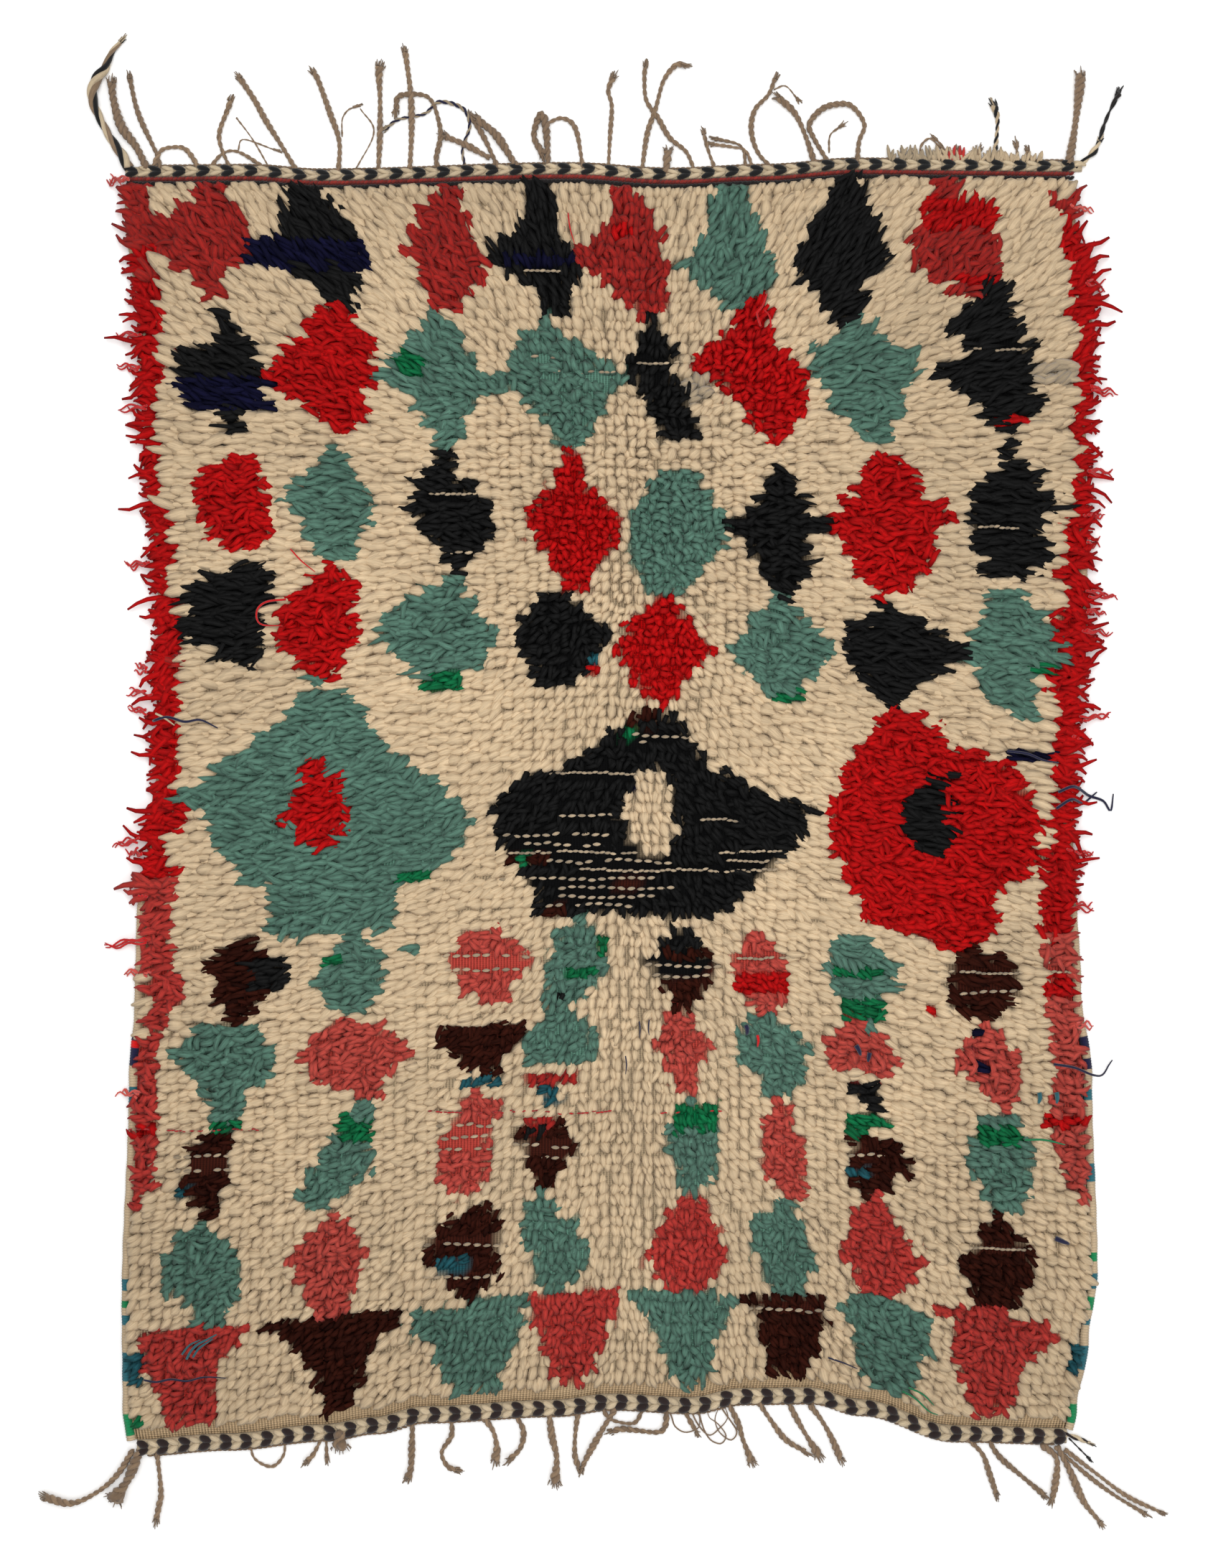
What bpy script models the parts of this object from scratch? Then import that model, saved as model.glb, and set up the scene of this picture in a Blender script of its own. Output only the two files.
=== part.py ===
"""Small vintage hand-knotted shag rug, lying flat.

Metres, +Z up. The origin is under the middle of the whole rug, fringe included, on the surface that it
lies on. +Y runs from the braid with the thick chevrons to the end with the red and dark twined bands.
"""

import math
import random

import bmesh
import bpy
from mathutils import Vector

MM = 0.001
GAP = 0.0003

# Knotted cloth between its side cords and end bands
CLOTH_WIDTH = 1.03
CLOTH_LENGTH = 1.36

# Its heights above the surface that it lies on
PILE_LONG = 0.021
PILE_SHORT = 0.0135
PILE_LUMP = 0.0030
RIM_HEIGHT = 0.0085
RIM_WIDTH = 0.010
FLATWEAVE_HEIGHT = 0.004
FLATWEAVE_WIDTH = 0.011
PILE_FOOT = 0.004
COLUMNS = 26
ROWS = 34
SHORT_CENTRE = (0.030, -0.260)
SHORT_RADII = (0.330, 0.520)

# Overcast side cords, twined bands and braids: width and height
SELVEDGE = (0.009, 0.006)
DARK_BAND = (0.0045, 0.0050)
RED_BAND = (0.0045, 0.0055)
TOP_BRAID = (0.0110, 0.0080)
BOTTOM_BRAID = (0.0165, 0.0090)
BACKING = (0.0028, 0.0042)
TOP_BRAID_STEPS = 6
BOTTOM_BRAID_STEPS = 5
BRAID_STATIONS_PER_PITCH = 3
BRAID_LUMP = 0.17
BRAID_SHOULDER = 0.06
CHEVRON_LAG = 0.75 * math.pi

# Side edges of the whole cloth, millimetres: y, x
LEFT_EDGE = (
    (690, -528),
    (623, -525),
    (512, -512),
    (354, -502),
    (204, -489),
    (6, -491),
    (-60, -500),
    (-160, -513),
    (-246, -515),
    (-325, -521),
    (-578, -529),
    (-689, -528),
    (-750, -521),
)
RIGHT_EDGE = (
    (690, 525),
    (610, 526),
    (550, 544),
    (465, 544),
    (386, 537),
    (164, 539),
    (66, 526),
    (-40, 521),
    (-120, 527),
    (-231, 532),
    (-325, 544),
    (-540, 550),
    (-620, 540),
    (-693, 527),
    (-750, 515),
)

# Outer edge of the top braid and lower edge of the woven cloth, millimetres: x, y
TOP_EDGE = (
    (-520, 678),
    (-390, 679),
    (-313, 674),
    (-36, 681),
    (74, 675),
    (177, 679),
    (280, 686),
    (525, 684),
)
LOWER_EDGE = (
    (-520, -727),
    (-412, -720),
    (-305, -710),
    (-250, -702),
    (-195, -690),
    (-52, -683),
    (11, -676),
    (100, -680),
    (155, -670),
    (230, -669),
    (285, -682),
    (390, -711),
    (517, -714),
)

# Locks of pile that overhang the edges, millimetres: from, to, spacing, shortest, longest overhang
SIDE_LOCKS = {
    "left": (668, -335, 19, 3, 24),
    "right": (668, -270, 19, 3, 25),
}
TOP_LOCK_SPACING = 0.040
TOP_LOCK_REACH = (0.005, 0.008)
LOCK_ROOT_INSIDE = 0.014
LOCK_WIDTH = 0.0065
LOCK_THICKNESS = 0.0042
LOCK_ROOT_HEIGHT = 0.0095
LOCK_CREST_HEIGHT = 0.0106
LOCK_TIP_HEIGHT = 0.0072
LOCK_JITTER = 0.2
LOCK_SLANT = 0.35
LONG_LOCKS_RARER = 1.6

# Loose cords, millimetres: root along the edge, reach, lean, bow,
# turn (0 straight, 1 hooked), width, end width
TOP_STRANDS = (
    (-499, 90, -38, -8, 0.0, 11.0, 11.0),
    (-484, 99, -34, -5, 0.0, 7.0, 8.0),
    (-408, 76, 0, -11, 0.0, 6.0, 11.0),
    (-335, 98, -63, 0, 0.0, 7.5, 10.5),
    (-289, 106, -28, 7, 0.0, 7.0, 10.0),
    (-270, 34, 17, 3, 0.0, 3.0, 3.0),
    (-245, 113, 2, 1, 0.0, 7.5, 11.0),
    (-210, 129, -6, 5, 0.0, 8.0, 9.0),
    (-177, 74, -17, 6, 0.6, 7.0, 7.0),
    (-148, 51, -2, -3, 0.0, 5.0, 5.0),
    (-104, 48, -30, 0, 0.0, 9.0, 14.0),
    (-70, 51, -4, 0, 0.0, 10.0, 14.0),
    (9, 101, 5, 1, 0.0, 6.0, 9.0),
    (46, 113, 2, 9, 0.0, 6.5, 7.0),
    (74, 22, 0, 0, 0.0, 9.0, 9.0),
    (104, 112, -20, -24, 0.0, 6.5, 7.0),
    (127, 36, -12, 0, 0.0, 5.0, 5.0),
    (161, 26, -28, 0, 1.0, 8.0, 8.0),
    (194, 99, 0, -28, 0.0, 6.5, 6.5),
    (238, 65, -36, 4, 0.0, 8.0, 10.0),
    (336, 10, 0, 0, 0.0, 10.0, 10.0),
    (355, 25, -5, 0, 0.0, 4.0, 4.0),
    (374, 28, 4, 0, 0.0, 8.0, 10.0),
    (394, 12, 0, 0, 0.0, 11.0, 11.0),
    (416, 16, -1, 0, 0.0, 13.0, 13.0),
    (437, 67, -6, 2, 0.0, 6.0, 10.0),
    (465, 18, 3, 0, 0.0, 5.0, 5.0),
    (478, 14, 2, 0, 0.0, 5.0, 5.0),
    (510, 102, 18, 0, 0.0, 9.5, 13.0),
)
BOTTOM_STRANDS = (
    (-512, 57, -114, 0, 0.9, 8.0, 9.0),
    (-499, 58, -38, 0, 0.0, 8.0, 16.0),
    (-482, 80, -8, 4, 0.0, 7.0, 10.0),
    (-307, 24, -18, 0, 0.0, 6.0, 11.0),
    (-287, 13, -2, 0, 0.0, 14.0, 14.0),
    (-207, 67, -6, 0, 0.0, 7.5, 14.0),
    (-165, 53, 8, -11, 0.0, 6.5, 7.0),
    (-133, 47, 17, 5, 0.0, 7.0, 11.0),
    (-97, 49, -4, 11, 0.0, 7.0, 9.0),
    (-57, 78, 6, 2, 0.0, 8.5, 14.0),
    (-24, 63, -4, -3, 0.0, 6.5, 7.0),
    (17, 63, -32, -3, 0.0, 8.0, 8.0),
    (73, 21, -51, 0, 1.0, 7.0, 7.0),
    (94, 22, 14, 0, 0.0, 6.0, 6.0),
    (144, 64, 26, 1, 0.0, 7.0, 9.0),
    (175, 48, 45, -3, 0.0, 7.0, 8.0),
    (208, 58, 36, -3, 0.0, 7.0, 11.0),
    (231, 62, 36, 0, 0.0, 7.0, 11.0),
    (404, 60, 34, 4, 0.0, 7.0, 9.0),
    (429, 53, 56, -2, 0.0, 7.0, 7.0),
    (487, 68, 13, 9, 0.0, 8.5, 8.0),
    (503, 89, 51, -2, 0.0, 8.5, 8.0),
    (514, 79, 90, 0, 0.0, 6.0, 5.0),
    (522, 76, 103, 0, 0.0, 5.5, 5.0),
)

# Cords that come back into the edge, millimetres: first root, second root,
# reach, shift of the far end, bulge, width
TOP_LOOPS = (
    (-470, -440, 19, 0, 0.0, 6.0),
    (-53, -19, 50, -3, 0.1, 6.0),
    (256, 286, 62, -9, 0.5, 7.5),
)
BOTTOM_LOOPS = (
    (-385, -348, 19, 0, 0.0, 4.0),
    (29, 47, 9, 0, 0.0, 5.0),
    (118, 134, 21, 0, 0.2, 2.5),
)
STRAND_SEGMENTS = 6
LOOP_SEGMENTS = 9
STRAND_FLATNESS = 0.75
STRAND_CREST = 0.7
LEAST_STRAND_HEIGHT = 0.0016
END_AT = 0.84
END_SPREAD = 0.3
TIP_TAPER = 0.35

# Ends of the braids that run on past the corners, millimetres: x, y, width
TOP_BRAID_LEFT_TAIL = (
    (-525, 826, 2.0),
    (-540, 803, 7.0),
    (-546, 785, 8.5),
    (-558, 769, 9.0),
    (-560, 748, 9.5),
    (-543, 714, 10.0),
    (-526, 688, 10.5),
)
TOP_BRAID_RIGHT_TAIL = (
    (533, 682, 8.5),
    (547, 697, 7.5),
    (560, 733, 7.0),
    (577, 767, 1.5),
)
BOTTOM_BRAID_RIGHT_TAIL = (
    (525, -725, 5.0),
    (545, -733, 1.6),
)
TAIL_SPACING = 0.0075


def ease(table, at):
    """The second column at a value of the first, eased between the table's rows, in metres."""
    rows = sorted((first * MM, second * MM) for first, second in table)
    at = min(max(at, rows[0][0]), rows[-1][0])
    for (a, low), (b, high) in zip(rows, rows[1:]):
        if at <= b:
            share = 0.5 - 0.5 * math.cos(math.pi * (at - a) / (b - a))
            return low + (high - low) * share
    return rows[-1][1]


def spaced(count, from_start, from_end):
    """Stations from 0 to 1: fixed steps in from both ends, and even ones between."""
    low = from_start[-1]
    high = 1.0 - from_end[-1]
    between = [low + (high - low) * i / count for i in range(1, count)]
    return [0.0, *from_start, *between, *(1.0 - step for step in reversed(from_end)), 1.0]


def cloth_point(u, v):
    """A point of the knotted cloth inside its side cords and bands, with u across and v up its length."""
    bands = DARK_BAND[0] + RED_BAND[0] + TOP_BRAID[0] + 3 * GAP
    y = CLOTH_LENGTH * (v - 0.5)
    x = 0.0
    for _ in range(3):
        left = ease(LEFT_EDGE, y) + SELVEDGE[0] + GAP
        right = ease(RIGHT_EDGE, y) - SELVEDGE[0] - GAP
        x = left + (right - left) * u
        low = ease(LOWER_EDGE, x)
        high = ease(TOP_EDGE, x) - bands
        y = low + (high - low) * v
    return Vector((x, y))


def offset_line(points, distance):
    """The same line moved to its left by a distance, with mitred corners."""
    moved = []
    for i, point in enumerate(points):
        before = (point - points[i - 1]).normalized() if i else None
        after = (points[i + 1] - point).normalized() if i + 1 < len(points) else before
        before = before or after
        normal = Vector((-before.y - after.y, before.x + after.x)).normalized()
        reach = distance / normal.dot(Vector((-after.y, after.x)))
        moved.append(point + normal * reach)
    return moved


def refined(points, steps):
    """The same line with each stretch cut into equal steps."""
    fine = [points[0]]
    for a, b in zip(points, points[1:]):
        fine += [a.lerp(b, (k + 1) / steps) for k in range(steps)]
    return fine


def height_on(line, x):
    """The y of a line that runs along X, at one x."""
    ordered = sorted(line, key=lambda point: point.x)
    for a, b in zip(ordered, ordered[1:]):
        if x <= b.x:
            return a.lerp(b, (x - a.x) / (b.x - a.x)).y
    return ordered[-1].y


def along_curve(points, spacing):
    """A smooth curve through x, y, width rows, read at even distances."""
    rows = [Vector(row) for row in points]
    rows = [rows[0] * 2 - rows[1], *rows, rows[-1] * 2 - rows[-2]]
    fine = []
    for a, b, c, d in zip(rows, rows[1:], rows[2:], rows[3:]):
        for k in range(16):
            t = k / 16
            fine.append(
                0.5
                * (
                    b * 2
                    + (c - a) * t
                    + (a * 2 - b * 5 + c * 4 - d) * t**2
                    + (b * 3 - a - c * 3 + d) * t**3
                )
            )
    fine.append(rows[-2])
    kept = [fine[0]]
    run = 0.0
    for a, b in zip(fine, fine[1:]):
        run += (b.xy - a.xy).length
        if run >= spacing:
            kept.append(b)
            run = 0.0
    return kept


def loft(name, rings):
    """A closed solid through rings of equal point counts, with flat ends."""
    bm = bmesh.new()
    verts = [[bm.verts.new(point) for point in ring] for ring in rings]
    sides = len(rings[0])
    for low, high in zip(verts, verts[1:]):
        for k in range(sides):
            after = (k + 1) % sides
            bm.faces.new((low[k], low[after], high[after], high[k]))
    bm.faces.new(verts[0])
    bm.faces.new(verts[-1])
    bmesh.ops.recalc_face_normals(bm, faces=bm.faces)
    mesh = bpy.data.meshes.new(name)
    bm.to_mesh(mesh)
    bm.free()
    return mesh


def material(name, colour, roughness):
    made = bpy.data.materials.new(name)
    made.use_nodes = True
    shader = made.node_tree.nodes["Principled BSDF"]
    shader.inputs["Base Color"].default_value = (*colour, 1.0)
    shader.inputs["Roughness"].default_value = roughness
    shader.inputs["Metallic"].default_value = 0.0
    return made


def add_part(name, mesh, finish, collection):
    part = bpy.data.objects.new(name, mesh)
    collection.objects.link(part)
    mesh.materials.append(finish)
    return part


def fuse(part, mesh, helpers):
    """Unions a mesh of small closed pieces with a part."""
    helper = bpy.data.objects.new(part.name + "_added", mesh)
    helpers.objects.link(helper)
    helper.hide_render = True
    helper.display_type = "WIRE"
    union = part.modifiers.new("fused", "BOOLEAN")
    union.operation = "UNION"
    union.use_self = True
    union.object = helper


def joined(name, meshes):
    """One mesh of many, which are removed."""
    bm = bmesh.new()
    for mesh in meshes:
        bm.from_mesh(mesh)
        bpy.data.meshes.remove(mesh)
    made = bpy.data.meshes.new(name)
    bm.to_mesh(made)
    bm.free()
    return made


def cloth_stations():
    """The columns and rows of the knotted cloth's grid."""
    columns = spaced(COLUMNS, [RIM_WIDTH / CLOTH_WIDTH], [RIM_WIDTH / CLOTH_WIDTH])
    foot = [FLATWEAVE_WIDTH / CLOTH_LENGTH, (FLATWEAVE_WIDTH + PILE_FOOT) / CLOTH_LENGTH]
    rows = spaced(ROWS, foot, [RIM_WIDTH / CLOTH_LENGTH])
    return columns, rows


def pile_height(x, y, rng):
    """Long pile at the top and sides, short in the lower middle, in soft lumps."""
    across = (x - SHORT_CENTRE[0]) / SHORT_RADII[0]
    along = (y - SHORT_CENTRE[1]) / SHORT_RADII[1]
    outward = min(1.0, across**2 + along**2)
    return PILE_SHORT + (PILE_LONG - PILE_SHORT) * outward + rng.uniform(-PILE_LUMP, PILE_LUMP)


def cloth_mesh(columns, rows):
    """A flat-bottomed slab with a lumpy top, a thinner rim and a bare woven strip at the lower end."""
    rng = random.Random(11)
    bm = bmesh.new()
    bmesh.ops.create_grid(bm, x_segments=len(columns) - 1, y_segments=len(rows) - 1, size=1)
    bm.verts.ensure_lookup_table()
    across = len(columns)
    for index, vert in enumerate(bm.verts):
        i = index % across
        j = index // across
        point = cloth_point(columns[i], rows[j])
        height = pile_height(point.x, point.y, rng)
        if i in (0, across - 1) or j == len(rows) - 1:
            height = RIM_HEIGHT
        if j <= 1:
            height = FLATWEAVE_HEIGHT
        elif j == 2:
            height = RIM_HEIGHT
        vert.co = (point.x, point.y, height)
    border = [edge for edge in bm.edges if edge.is_boundary]
    walls = bmesh.ops.extrude_edge_only(bm, edges=border)
    foot = [item for item in walls["geom"] if isinstance(item, bmesh.types.BMVert)]
    for vert in foot:
        vert.co.z = 0.0
    bottom = [edge for edge in bm.edges if edge.is_boundary]
    bmesh.ops.edgeloop_fill(bm, edges=bottom)
    bmesh.ops.recalc_face_normals(bm, faces=bm.faces)
    mesh = bpy.data.meshes.new("rug")
    bm.to_mesh(mesh)
    bm.free()
    return mesh


def lock_mesh(root, crest, tip):
    """A three-sided lock of yarn from inside the pile, over the edge, to its loose tip."""
    path = (root, crest, tip)
    widths = (1.0, 0.9, 0.2)
    along = (tip - root).xy.normalized()
    across = Vector((-along.y, along.x, 0.0))
    rings = []
    for point, share in zip(path, widths):
        side = across * LOCK_WIDTH * share / 2
        rise = Vector((0.0, 0.0, LOCK_THICKNESS * share / 2))
        rings.append((point - side - rise, point + side - rise, point + rise))
    return loft("lock", rings)


def side_locks(side, rng):
    """Locks that overhang one side cord, at uneven places and lengths."""
    start, end, spacing, shortest, longest = SIDE_LOCKS[side]
    edge = LEFT_EDGE if side == "left" else RIGHT_EDGE
    outward = -1.0 if side == "left" else 1.0
    count = int((start - end) / spacing)
    for k in range(count):
        y = (start - spacing * (k + 0.5 + rng.uniform(-LOCK_JITTER, LOCK_JITTER))) * MM
        reach = (shortest + (longest - shortest) * rng.random() ** LONG_LOCKS_RARER) * MM
        slant = rng.uniform(-LOCK_SLANT, LOCK_SLANT) * reach
        outer = ease(edge, y)
        root = Vector((outer - outward * (SELVEDGE[0] + LOCK_ROOT_INSIDE), y, LOCK_ROOT_HEIGHT))
        crest = Vector((outer - outward * SELVEDGE[0] / 2, y, LOCK_CREST_HEIGHT))
        tip = Vector((outer + outward * reach, y + slant, LOCK_TIP_HEIGHT))
        yield lock_mesh(root, crest, tip)


def top_locks(edge_line, rng):
    """Locks of long pile that lie over the twined bands."""
    start = edge_line[1].x
    end = edge_line[-2].x
    count = int((end - start) / TOP_LOCK_SPACING)
    for k in range(count):
        x = start + TOP_LOCK_SPACING * (k + 0.5 + rng.uniform(-LOCK_JITTER, LOCK_JITTER))
        y = height_on(edge_line, x)
        reach = rng.uniform(*TOP_LOCK_REACH)
        slant = rng.uniform(-LOCK_SLANT, LOCK_SLANT) * reach
        root = Vector((x, y - LOCK_ROOT_INSIDE, LOCK_ROOT_HEIGHT))
        crest = Vector((x, y + reach / 4, LOCK_CREST_HEIGHT))
        tip = Vector((x + slant, y + reach, LOCK_CREST_HEIGHT))
        yield lock_mesh(root, crest, tip)


def strip_rings(line, inner, width, height):
    """Rings of a low crowned strip that lies beside a line."""
    near = offset_line(line, inner)
    far = offset_line(line, inner + width)
    rings = []
    for a, b in zip(near, far):
        middle = a.lerp(b, 0.5)
        rings.append(
            (
                Vector((*a, 0.0)),
                Vector((*a, height * 0.6)),
                Vector((*middle, height)),
                Vector((*b, height * 0.6)),
                Vector((*b, 0.0)),
            )
        )
    return rings


def chevron_ring(near, far, height, phase):
    """One ring of a flat braid, its two rows of plies leaning together towards +X."""
    side = height * (1 - BRAID_LUMP + BRAID_LUMP * math.cos(phase))
    crown = height * (1 - BRAID_LUMP + BRAID_LUMP * math.cos(phase - CHEVRON_LAG))
    middle = near.lerp(far, 0.5)
    return (
        Vector((*near, 0.0)),
        Vector((*near.lerp(far, BRAID_SHOULDER), side)),
        Vector((*middle, crown)),
        Vector((*far.lerp(near, BRAID_SHOULDER), side)),
        Vector((*far, 0.0)),
    )


def tail_pairs(rows, spacing):
    """Left and right points along the loose end of a braid."""
    curve = along_curve([(x * MM, y * MM, width * MM) for x, y, width in rows], spacing)
    pairs = []
    for i, row in enumerate(curve):
        ahead = curve[min(i + 1, len(curve) - 1)].xy - curve[max(i - 1, 0)].xy
        ahead.normalize()
        half = Vector((-ahead.y, ahead.x)) * row.z / 2
        pairs.append((row.xy - half, row.xy + half))
    return pairs


def braid_rings(pairs, height):
    """Rings of a braid along pairs of edge points, thinner where it is narrower."""
    full = max((far - near).length for near, far in pairs)
    rings = []
    for k, (near, far) in enumerate(pairs):
        share = min(1.0, (far - near).length / (0.6 * full))
        phase = 2 * math.pi * k / BRAID_STATIONS_PER_PITCH
        rings.append(chevron_ring(near, far, height * share, phase))
    return rings


def top_braid_mesh(edge_line):
    """The thin chevron braid of the top end, with a plaited tail at each corner."""
    inner = DARK_BAND[0] + RED_BAND[0] + 3 * GAP
    line = refined(edge_line, TOP_BRAID_STEPS)
    near = offset_line(line, inner)
    far = offset_line(line, inner + TOP_BRAID[0])
    pairs = tail_pairs(TOP_BRAID_LEFT_TAIL, TAIL_SPACING)
    pairs += list(zip(near, far))
    pairs += tail_pairs(TOP_BRAID_RIGHT_TAIL, TAIL_SPACING)
    return loft("braid_top", braid_rings(pairs, TOP_BRAID[1]))


def bottom_braid_mesh(edge_line):
    """The thick chevron braid of the lower end."""
    line = refined(edge_line, BOTTOM_BRAID_STEPS)
    near = offset_line(line, -GAP - BOTTOM_BRAID[0])
    far = offset_line(line, -GAP)
    pairs = list(zip(near, far))
    pairs += tail_pairs(BOTTOM_BRAID_RIGHT_TAIL, TAIL_SPACING)
    return loft("braid_bottom", braid_rings(pairs, BOTTOM_BRAID[1]))


def cord_ring(point, across, width):
    """One four-sided ring of a cord that lies level on the surface."""
    side = across * width / 2
    height = max(width * STRAND_FLATNESS, LEAST_STRAND_HEIGHT)
    low = Vector((*point, 0.0))
    high = Vector((*point, height))
    edge = Vector((*side, 0.0))
    crest = edge * STRAND_CREST
    return (low - edge, low + edge, high + crest, high - crest)


def cord_mesh(points, widths, held):
    """A cord through points on the surface. Its rings in held lie along the edge that holds it."""
    rings = []
    for i, (point, width) in enumerate(zip(points, widths)):
        ahead = points[min(i + 1, len(points) - 1)] - points[max(i - 1, 0)]
        ahead.normalize()
        across = Vector((-ahead.y, ahead.x))
        if i in held:
            across = Vector((math.copysign(1.0, across.x), 0.0))
        rings.append(cord_ring(point, across, width))
    return loft("cord", rings)


def strand_mesh(row, backing_line, outward):
    """One loose cord of the fringe, from its row of the table."""
    root_x, reach, lean, bow, turn, width, end_width = row
    root = Vector((root_x * MM, height_on(backing_line, root_x * MM)))
    points = []
    widths = []
    for k in range(STRAND_SEGMENTS + 1):
        t = k / STRAND_SEGMENTS
        out = reach * (t + turn * (math.sin(t * math.pi / 2) - t))
        side = lean * (t + turn * (1 - math.cos(t * math.pi / 2) - t))
        side += bow * 4 * t * (1 - t)
        points.append(root + Vector((side * MM, outward * out * MM)))
        swell = max(0.0, 1 - abs(t - END_AT) / END_SPREAD)
        taper = TIP_TAPER if k == STRAND_SEGMENTS else 1.0
        widths.append((width + (end_width - width) * swell) * taper * MM)
    return cord_mesh(points, widths, held=(0,))


def loop_mesh(row, backing_line, outward):
    """One cord that leaves the edge and comes back into it."""
    first, second, reach, shift, bulge, width = row
    middle = (first + second) / 2
    half = (second - first) / 2
    points = []
    for k in range(LOOP_SEGMENTS + 1):
        angle = math.pi * k / LOOP_SEGMENTS
        rise = math.sin(angle)
        x = middle - half * math.cos(angle) * (1 + bulge * rise * 2) + shift * rise
        y = height_on(backing_line, x * MM) + outward * reach * rise * MM
        points.append(Vector((x * MM, y)))
    return cord_mesh(points, [width * MM] * len(points), held=(0, LOOP_SEGMENTS))


def fringe(name, line, inner, tables, outward, collection, helpers, finish):
    """A narrow backing strip beside a braid, with the loose cords fused to it."""
    backing = loft(name, strip_rings(line, inner, *BACKING))
    part = add_part(name, backing, finish, collection)
    middle = offset_line(line, inner + BACKING[0] / 2)
    strands, loops = tables
    cords = [strand_mesh(row, middle, outward) for row in strands]
    cords += [loop_mesh(row, middle, outward) for row in loops]
    fuse(part, joined(name + "_cords", cords), helpers)


def clipped(line, start, end):
    """The stretch of a line between two values of x."""
    inside = [point for point in line if start < point.x < end]
    first = Vector((start, height_on(line, start)))
    last = Vector((end, height_on(line, end)))
    return [first, *inside, last]


def main():
    for item in list(bpy.data.objects):
        bpy.data.objects.remove(item, do_unlink=True)
    scene = bpy.context.scene
    scene.unit_settings.scale_length = 1.0
    collection = bpy.data.collections.new("shag_rug")
    helpers = bpy.data.collections.new("shag_rug_helpers")
    scene.collection.children.link(collection)
    scene.collection.children.link(helpers)

    cream = material("cream_wool", (0.66, 0.52, 0.35), 0.95)
    red = material("red_wool", (0.50, 0.04, 0.04), 0.90)
    dark = material("dark_wool", (0.012, 0.011, 0.012), 0.90)
    braid = material("braided_wool", (0.28, 0.21, 0.14), 0.90)
    cord = material("fringe_cotton", (0.32, 0.24, 0.17), 0.95)
    binding = material("binding_wool", (0.55, 0.42, 0.27), 0.95)

    columns, rows = cloth_stations()
    top_line = [cloth_point(u, 1.0) for u in columns]
    lower_line = [cloth_point(u, 0.0) for u in columns]
    left_line = [cloth_point(0.0, v) for v in rows]
    right_line = [cloth_point(1.0, v) for v in rows]

    rug = add_part("rug", cloth_mesh(columns, rows), cream, collection)
    rng = random.Random(23)
    locks = list(side_locks("left", rng))
    locks += list(side_locks("right", rng))
    locks += list(top_locks(top_line, rng))
    fuse(rug, joined("rim_locks", locks), helpers)

    rings = strip_rings(left_line, GAP, *SELVEDGE)
    add_part("selvedge_left", loft("selvedge_left", rings), binding, collection)
    rings = strip_rings(right_line, -GAP - SELVEDGE[0], *SELVEDGE)
    add_part("selvedge_right", loft("selvedge_right", rings), binding, collection)

    band_line = [
        top_line[0] - Vector((SELVEDGE[0], 0.0)),
        *top_line,
        top_line[-1] + Vector((SELVEDGE[0], 0.0)),
    ]
    rings = strip_rings(band_line, GAP, *DARK_BAND)
    add_part("band_top_dark", loft("band_top_dark", rings), dark, collection)
    rings = strip_rings(band_line, DARK_BAND[0] + 2 * GAP, *RED_BAND)
    add_part("band_top_red", loft("band_top_red", rings), red, collection)

    add_part("braid_top", top_braid_mesh(top_line), braid, collection)
    braid_line = clipped(lower_line, lower_line[0].x + 0.002, lower_line[-1].x)
    add_part("braid_bottom", bottom_braid_mesh(braid_line), braid, collection)

    inner = DARK_BAND[0] + RED_BAND[0] + TOP_BRAID[0] + 4 * GAP
    top_backing = clipped(top_line, -0.506, 0.5155)
    cords = (TOP_STRANDS, TOP_LOOPS)
    fringe("fringe_top", top_backing, inner, cords, 1.0, collection, helpers, cord)
    inner = -2 * GAP - BOTTOM_BRAID[0] - BACKING[0]
    bottom_backing = clipped(lower_line, -0.518, 0.5255)
    cords = (BOTTOM_STRANDS, BOTTOM_LOOPS)
    fringe("fringe_bottom", bottom_backing, inner, cords, -1.0, collection, helpers, cord)


main()
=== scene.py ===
import math
from collections import namedtuple

import bpy
import numpy as np
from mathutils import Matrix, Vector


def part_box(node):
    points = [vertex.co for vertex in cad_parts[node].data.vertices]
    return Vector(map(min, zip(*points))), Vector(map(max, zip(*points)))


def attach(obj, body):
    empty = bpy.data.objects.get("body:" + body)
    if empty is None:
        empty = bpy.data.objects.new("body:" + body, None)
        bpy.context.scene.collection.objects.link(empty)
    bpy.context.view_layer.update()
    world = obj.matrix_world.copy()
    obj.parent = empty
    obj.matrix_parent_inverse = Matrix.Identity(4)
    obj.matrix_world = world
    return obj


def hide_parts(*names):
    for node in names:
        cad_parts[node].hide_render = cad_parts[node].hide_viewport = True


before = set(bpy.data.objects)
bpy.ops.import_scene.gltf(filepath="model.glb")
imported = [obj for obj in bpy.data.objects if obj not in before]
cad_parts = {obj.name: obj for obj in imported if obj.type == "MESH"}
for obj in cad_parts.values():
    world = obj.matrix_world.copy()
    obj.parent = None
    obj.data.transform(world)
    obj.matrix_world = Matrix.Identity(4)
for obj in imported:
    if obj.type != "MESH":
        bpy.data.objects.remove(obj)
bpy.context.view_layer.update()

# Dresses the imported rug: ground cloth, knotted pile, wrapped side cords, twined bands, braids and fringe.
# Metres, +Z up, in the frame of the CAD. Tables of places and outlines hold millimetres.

MM = 0.001
GAP = 0.0003
SEED = 5057

# The scale of the fibre pattern along a yarn against across it, and the arch of a short segment of yarn
STREAK = 0.12
LEAF_ARCH = 0.0006

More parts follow.
